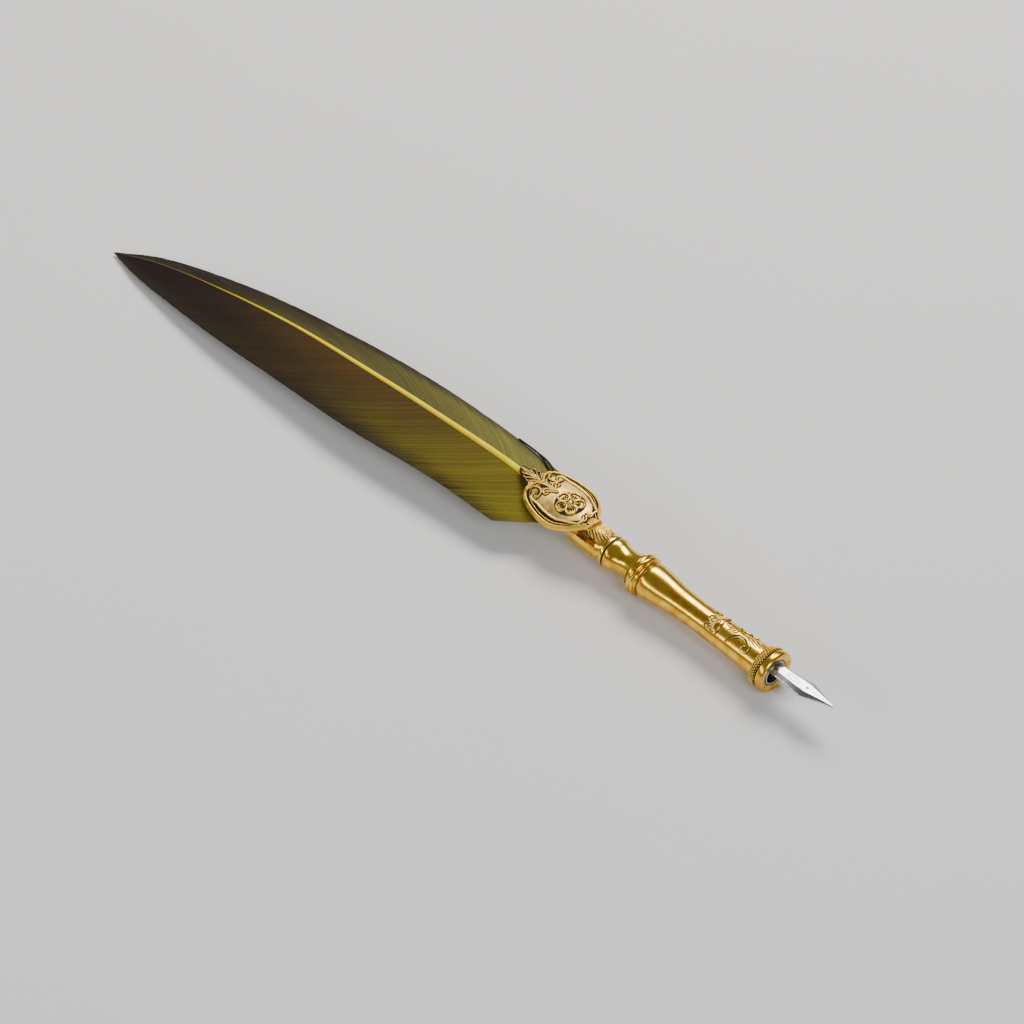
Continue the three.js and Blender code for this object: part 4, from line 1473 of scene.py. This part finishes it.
class FeatherSettings(bpy.types.PropertyGroup):
    """Barbs of the two vanes."""

    barbs: bpy.props.IntProperty(
        name="Barbs", description="Barbs on each side of the shaft", default=520, min=50, max=1200,
    )
    steps: bpy.props.IntProperty(
        name="Steps", description="Points along each barb", default=13, min=4, max=40,
    )
    width: bpy.props.FloatProperty(
        name="Barb width", description="Width of a barb, in millimetres", default=0.62, min=0.1, max=2,
    )
    thickness: bpy.props.FloatProperty(
        name="Barb thickness", description="Thickness of a barb, in millimetres",
        default=0.2, min=0.02, max=1,
    )
    camber: bpy.props.FloatProperty(
        name="Camber", description="How far a vane bulges upwards, in millimetres", default=0.6, min=0, max=3,
    )


def shaft_radius(x):
    """Radius of the quill, from the fine tip to the stem in the socket."""
    return np.interp(x, [-193, -165, -150, -100, -38, -13.5], [0.12, 0.15, 0.3, 0.62, 0.98, 1.6])


def make_shaft(finish):
    """The quill: a round stem that narrows into a long, curved shaft."""
    line = smooth_line(SHAFT_LINE, 260)
    radius = shaft_radius(line[:, 0])
    shape = Shape().swept(line, radius, 16)
    piece = shape.piece("quill_shaft_keratin", finish, sharp=60)
    points = local_points(piece)
    store(piece.data, "along", np.clip((-30 - points[:, 0]) / 163, 0, 1))
    return piece


def locks(u, side):
    """A slow wave that gathers neighbouring barbs into locks, from -1 to 1."""
    phase = 0.7 if side > 0 else 0.0
    wave = np.sin(2 * math.pi * (7.3 * u + phase)) + 0.8 * np.sin(2 * math.pi * (17.9 * u + 0.3 + phase))
    wave += 0.6 * np.sin(2 * math.pi * (41.3 * u + 0.55))
    return wave / 2.4


def barb_guides(settings, edge_points, side, lead):
    """One line for each barb, from the shaft out to the vane's edge, with its place in the vane."""
    shaft = smooth_line(SHAFT_LINE, 600)
    edge = smooth_line(edge_points, 600)
    edge_run = np.linspace(0, 1, 600)
    lines, along, across = [], [], []
    out = np.linspace(0, 1, settings.steps)
    for k in range(settings.barbs):
        u = (k + 0.5) / settings.barbs
        root_x = VANE_ROOT + (VANE_LAST - VANE_ROOT) * u
        root = np.array([np.interp(-root_x, -shaft[:, 0], shaft[:, axis]) for axis in range(3)])
        radius = float(shaft_radius(np.array(root_x)))
        root[1] += side * radius * 0.55
        reach = 1 - (1 - u) ** lead
        wave = float(locks(u, side))
        reach = np.clip(reach + 0.0022 * wave * (1 - u), 0, 1)
        rim = np.array([np.interp(reach, edge_run, edge[:, axis]) for axis in range(3)])
        rim += [0.0, -side * 0.08 * abs(wave), 0.03 * wave]
        middle = (root + rim) / 2
        length = np.linalg.norm(rim - root)
        middle += [0.055 * length, side * 0.055 * length, 0]
        weights = np.column_stack([(1 - out) ** 2, 2 * out * (1 - out), out**2])
        line = weights @ np.array([root, middle, rim])
        line[:, 2] += settings.camber * np.sin(math.pi * out) * (1 - u) + 0.03 * wave * out
        lines.append(line)
        run = (VANE_ROOT - line[:, 0]) / (VANE_ROOT - VANE_LAST)
        along.append(0.5 * u + 0.5 * run)
        across.append(out)
    return lines, along, across


def make_vane(settings, name, edge, side, lead, tree, finish):
    lines, along, across = barb_guides(settings, edge, side, lead)
    for stray in STRAY_BARBS if side > 0 else []:
        lines.append(smooth_line(stray, settings.steps))
        along.append(np.full(settings.steps, 0.7))
        across.append(np.ones(settings.steps))
    guides = guide_mesh(name, lines, along=along, across=across)
    return grown(
        name, guides, tree, finish,
        Width=settings.width * MM, Thickness=settings.thickness * MM, Lean=-side * 0.12, Seed=5,
    )


def make_glue(finish):
    """A ring of set glue between the stem and the socket."""
    outline = rounded([[-13.6, 1.66], [-13.5, 3.0], [-13.2, 3.24], [-7, 3.24], [-7, 1.66]], 0.15)
    return Shape().turned(outline, 64).piece("glue_bead", finish)


# ---- Operators ----


def settings_of(name):
    return getattr(bpy.context.scene, name)


class QUILL_OT_holder(bpy.types.Operator):
    """Make the turned barrels, the collar and the mouth ring"""

    bl_idname = "quill.holder"
    bl_label = "Turned holder"

    def execute(self, context):
        settings = settings_of("quill_holder")
        polished = gold("polished_gilding")
        finish_piece(make_grip_barrel(settings, polished), "barrel", "polished_gold", "grip_barrel")
        finish_piece(make_upper_barrel(settings, polished), "barrel", "polished_gold", "upper_barrel")
        finish_piece(make_collar(settings, polished), "barrel", "polished_gold", "collar_ring")
        finish_piece(make_mouth_ring(settings, polished), "barrel", "polished_gold", "mouth_ring")
        finish_piece(make_socket_tube(polished), "head", "polished_gold", "socket_tube")
        return {"FINISHED"}


class QUILL_OT_cord(bpy.types.Operator):
    """Make the laid cord behind the mouth ring"""

    bl_idname = "quill.cord"
    bl_label = "Rope ring"

    def execute(self, context):
        antique = gold("cord_gilding", relief=True)
        strands = []
        for row, (x, radius) in enumerate(((57.2, 5.55), (57.9, 5.85), (58.6, 5.95), (59.25, 5.95))):
            angle = np.linspace(0, 2 * math.pi, 120, endpoint=False) + 0.073 * row
            strands.append(np.stack([np.full(120, x), radius * np.sin(angle), radius * np.cos(angle)], -1))
        tree = bead_tree()
        piece = grown(
            "rope_ring_cord", guide_mesh("rope_guides", strands, closed=True), tree, antique,
            Spacing=0.85 * MM, Length=1.1 * MM, Thickness=0.72 * MM, Slant=0.75,
        )
        core = Shape().turned(rounded([[57, 4.85], [59.3, 4.85], [59.3, 5.8], [57, 5.3]], 0.1), 96)
        join([piece, core.piece("rope_core", antique)])
        points = local_points(piece)
        radius = np.hypot(points[:, 1], points[:, 2])
        store(piece.data, "hollow", 0.9 - 0.5 * smoothstep(radius - 0.25 * (points[:, 0] - 57), 5.55, 5.9))
        finish_piece(piece, "barrel", "antique_gold", "rope_ring")
        return {"FINISHED"}


class QUILL_OT_grip_relief(bpy.types.Operator):
    """Make the cast leaf band and scrolls on the grip"""

    bl_idname = "quill.grip_relief"
    bl_label = "Grip relief"

    def execute(self, context):
        antique = gold("relief_gilding", relief=True, satin=0.04)
        finish_piece(make_leaf_band(antique), "barrel", "antique_gold", "leaf_band")
        finish_piece(make_scroll_relief(antique), "barrel", "antique_gold", "scroll_relief")
        return {"FINISHED"}


class QUILL_OT_cartouche(bpy.types.Operator):
    """Make the heart-shaped cartouche with its beads, rosette and leaves"""

    bl_idname = "quill.cartouche"
    bl_label = "Cartouche"

    def execute(self, context):
        antique = gold("cartouche_gilding", relief=True)
        field = field_gold("cartouche_field")
        finish_piece(make_cartouche(field), "head", "antique_gold", "cartouche_plate")
        finish_piece(make_border_scroll(1, antique), "head", "antique_gold", "border_scroll_left")
        finish_piece(make_border_scroll(-1, antique), "head", "antique_gold", "border_scroll_right")
        finish_piece(make_rosette(antique), "head", "antique_gold", "rosette")
        finish_piece(make_feather_leaf(antique), "head", "antique_gold", "feather_leaf")
        finish_piece(make_neck_leaf(antique), "head", "antique_gold", "neck_leaf")
        return {"FINISHED"}


class QUILL_OT_nib(bpy.types.Operator):
    """Make the nib and the sleeve, spring and thread that hold the pen together"""

    bl_idname = "quill.nib"
    bl_label = "Nib and steel parts"

    def execute(self, context):
        bright, dull = steel("nib_plating"), steel("spring_steel_dull", dull=True)
        settings = settings_of("quill_holder")
        finish_piece(make_nib(bright), "nib", "nib_steel", "nib")
        finish_piece(make_ferrule(settings, bright), "barrel", "nib_steel", "ferrule_sleeve")
        finish_piece(make_spring(dull), "barrel", "spring_steel", "ferrule_spring")
        finish_piece(make_thread_stud(dull), "neck_screw", "spring_steel", "thread_stud")
        return {"FINISHED"}


class QUILL_OT_feather(bpy.types.Operator):
    """Make the quill's shaft, both vanes and the glue that holds it"""

    bl_idname = "quill.feather"
    bl_label = "Feather"

    def execute(self, context):
        settings = settings_of("quill_feather")
        keratin = quill_finish("quill_yellow_keratin")
        finish_piece(make_shaft(keratin), "head", "quill_yellow", "quill_shaft")
        tree = barb_tree()
        wide = vane_finish("wide_vane_barbs", [
            (0.0, (0.200, 0.165, 0.008)), (0.25, (0.100, 0.076, 0.004)), (0.48, (0.036, 0.021, 0.003)),
            (0.68, (0.013, 0.007, 0.003)), (1.0, (0.006, 0.003, 0.002)),
        ], (0.020, 0.012, 0.005), (0.075, 0.036, 0.003))
        # The narrow vane's stops are lighter and greyer than the wide vane's: partly its own grey-green
        # colour, partly painted sheen where it catches the light.
        narrow = vane_finish("narrow_vane_dye_and_sheen", [
            (0.0, (0.230, 0.215, 0.040)), (0.3, (0.120, 0.106, 0.020)), (0.55, (0.045, 0.036, 0.010)),
            (0.8, (0.016, 0.010, 0.005)), (1.0, (0.006, 0.004, 0.002)),
        ], (0.016, 0.011, 0.006), (0.095, 0.085, 0.020))
        finish_piece(
            make_vane(settings, "wide_vane_feather", WIDE_EDGE, -1, 1.35, tree, wide),
            "head", "wide_vane", "wide_vane",
        )
        finish_piece(
            make_vane(settings, "narrow_vane_feather", NARROW_EDGE, 1, 1.3, tree, narrow),
            "head", "narrow_vane", "narrow_vane",
        )
        finish_piece(make_glue(glue_finish("set_glue")), "head", "glue", "glue_ring")
        return {"FINISHED"}


class StageSettings(bpy.types.PropertyGroup):
    """Camera, floor and lights."""

    lens: bpy.props.FloatProperty(
        name="Lens", description="Focal length, in millimetres", default=142.2, min=20, max=400,
    )
    floor: bpy.props.FloatVectorProperty(
        name="Floor", description="Colour of the floor", subtype="COLOR",
        default=(0.74, 0.73, 0.72), min=0, max=1,
    )
    key: bpy.props.FloatProperty(
        name="Key light", description="Power of the main light, in watts", default=24, min=0, max=500,
    )
    fill: bpy.props.FloatProperty(
        name="Fill light", description="Power of the side light, in watts", default=6, min=0, max=500,
    )
    world: bpy.props.FloatProperty(
        name="Surroundings", description="Brightness of the surroundings", default=0.22, min=0, max=5,
    )


CAMERA_PLACE = np.array([515.8, -543.2, 843.8])
CAMERA_FORWARD = Vector((-0.480, 0.469, -0.741))
CAMERA_RIGHT = Vector((0.703, 0.7105, -0.005))
FLOOR_REACH = 2.5
FLOOR_GAP = 0.0004


def look_along(thing, forward, right):
    """Turns a camera or light so that it looks along forward with its right-hand side along right."""
    back = -forward.normalized()
    up = back.cross(right).normalized()
    side = up.cross(back)
    thing.rotation_euler = Matrix((side, up, back)).transposed().to_euler()


def soft_light(name, place, target, size, power, colour=(1, 1, 1)):
    light = bpy.data.lights.new(name, "AREA")
    light.shape = "RECTANGLE"
    light.size, light.size_y = size
    light.energy = power
    light.color = colour
    lamp = bpy.data.objects.new(name, light)
    lamp.location = place
    forward = Vector(target) - Vector(place)
    look_along(lamp, forward, forward.cross(Vector((0, 0, 1))))
    bpy.context.scene.collection.objects.link(lamp)


class QUILL_OT_stage(bpy.types.Operator):
    """Make the camera, the pale floor and the soft lights"""

    bl_idname = "quill.stage"
    bl_label = "Stage"

    def execute(self, context):
        settings = settings_of("quill_stage")
        camera_data = bpy.data.cameras.new("camera")
        camera_data.lens = settings.lens
        camera_data.clip_start, camera_data.clip_end = 0.01, 20
        camera = bpy.data.objects.new("camera", camera_data)
        camera.location = CAMERA_PLACE * MM + ORIGIN
        look_along(camera, CAMERA_FORWARD, CAMERA_RIGHT)
        context.scene.collection.objects.link(camera)
        context.scene.camera = camera

        def paper(graph):
            cloud = graph.noise(graph.place(), 9, 3)
            return {"Base Color": graph.mix(cloud * 0.12, tuple(settings.floor), (0.5, 0.49, 0.48))}

        plane = bpy.data.meshes.new("floor")
        level = CAD_BOX[0][2] - FLOOR_GAP
        corners = [(a * FLOOR_REACH, b * FLOOR_REACH, level) for a, b in ((-1, -1), (1, -1), (1, 1), (-1, 1))]
        plane.from_pydata(corners, [], [(0, 1, 2, 3)])
        plane.materials.append(material("floor_paper", paper, Roughness=0.8))
        floor = bpy.data.objects.new("floor", plane)
        context.scene.collection.objects.link(floor)

        world = bpy.data.worlds.new("studio")
        world.use_nodes = True
        world.node_tree.nodes["Background"].inputs["Color"].default_value = (0.80, 0.83, 0.90, 1)
        world.node_tree.nodes["Background"].inputs["Strength"].default_value = settings.world
        context.scene.world = world
        soft_light("key", (-0.35, 0.75, 1.0), (0, 0, 0), (0.9, 0.55), settings.key, (1, 0.97, 0.93))
        soft_light("fill", (0.9, -0.3, 0.8), (0, 0, 0), (0.5, 0.5), settings.fill, (0.93, 0.96, 1))
        soft_light("strip", (-0.5, -0.9, 0.5), (0, 0, 0), (1.2, 0.14), 5, (1, 0.97, 0.93))
        return {"FINISHED"}


OPERATORS = [
    QUILL_OT_stage, QUILL_OT_holder, QUILL_OT_cord, QUILL_OT_grip_relief, QUILL_OT_cartouche,
    QUILL_OT_nib, QUILL_OT_feather,
]
SETTINGS = {
    "quill_finishes": FinishSettings,
    "quill_holder": HolderSettings,
    "quill_feather": FeatherSettings,
    "quill_stage": StageSettings,
}


class QUILL_PT_panel(bpy.types.Panel):
    """Lists the pen's pieces"""

    bl_idname = "QUILL_PT_panel"
    bl_label = "Quill pen"
    bl_space_type = "VIEW_3D"
    bl_region_type = "UI"
    bl_category = "Quill pen"

    def draw(self, context):
        for operator in OPERATORS:
            self.layout.operator(operator.bl_idname)


def register():
    for group in [*SETTINGS.values(), *OPERATORS, QUILL_PT_panel]:
        bpy.utils.register_class(group)
    for name, group in SETTINGS.items():
        setattr(bpy.types.Scene, name, bpy.props.PointerProperty(type=group))


def unregister():
    for name in SETTINGS:
        delattr(bpy.types.Scene, name)
    for group in reversed([*SETTINGS.values(), *OPERATORS, QUILL_PT_panel]):
        bpy.utils.unregister_class(group)


def main():
    register()
    bpy.ops.quill.stage()
    bpy.ops.quill.holder()
    bpy.ops.quill.cord()
    bpy.ops.quill.grip_relief()
    bpy.ops.quill.cartouche()
    bpy.ops.quill.nib()
    bpy.ops.quill.feather()


if __name__ == "__main__":
    main()
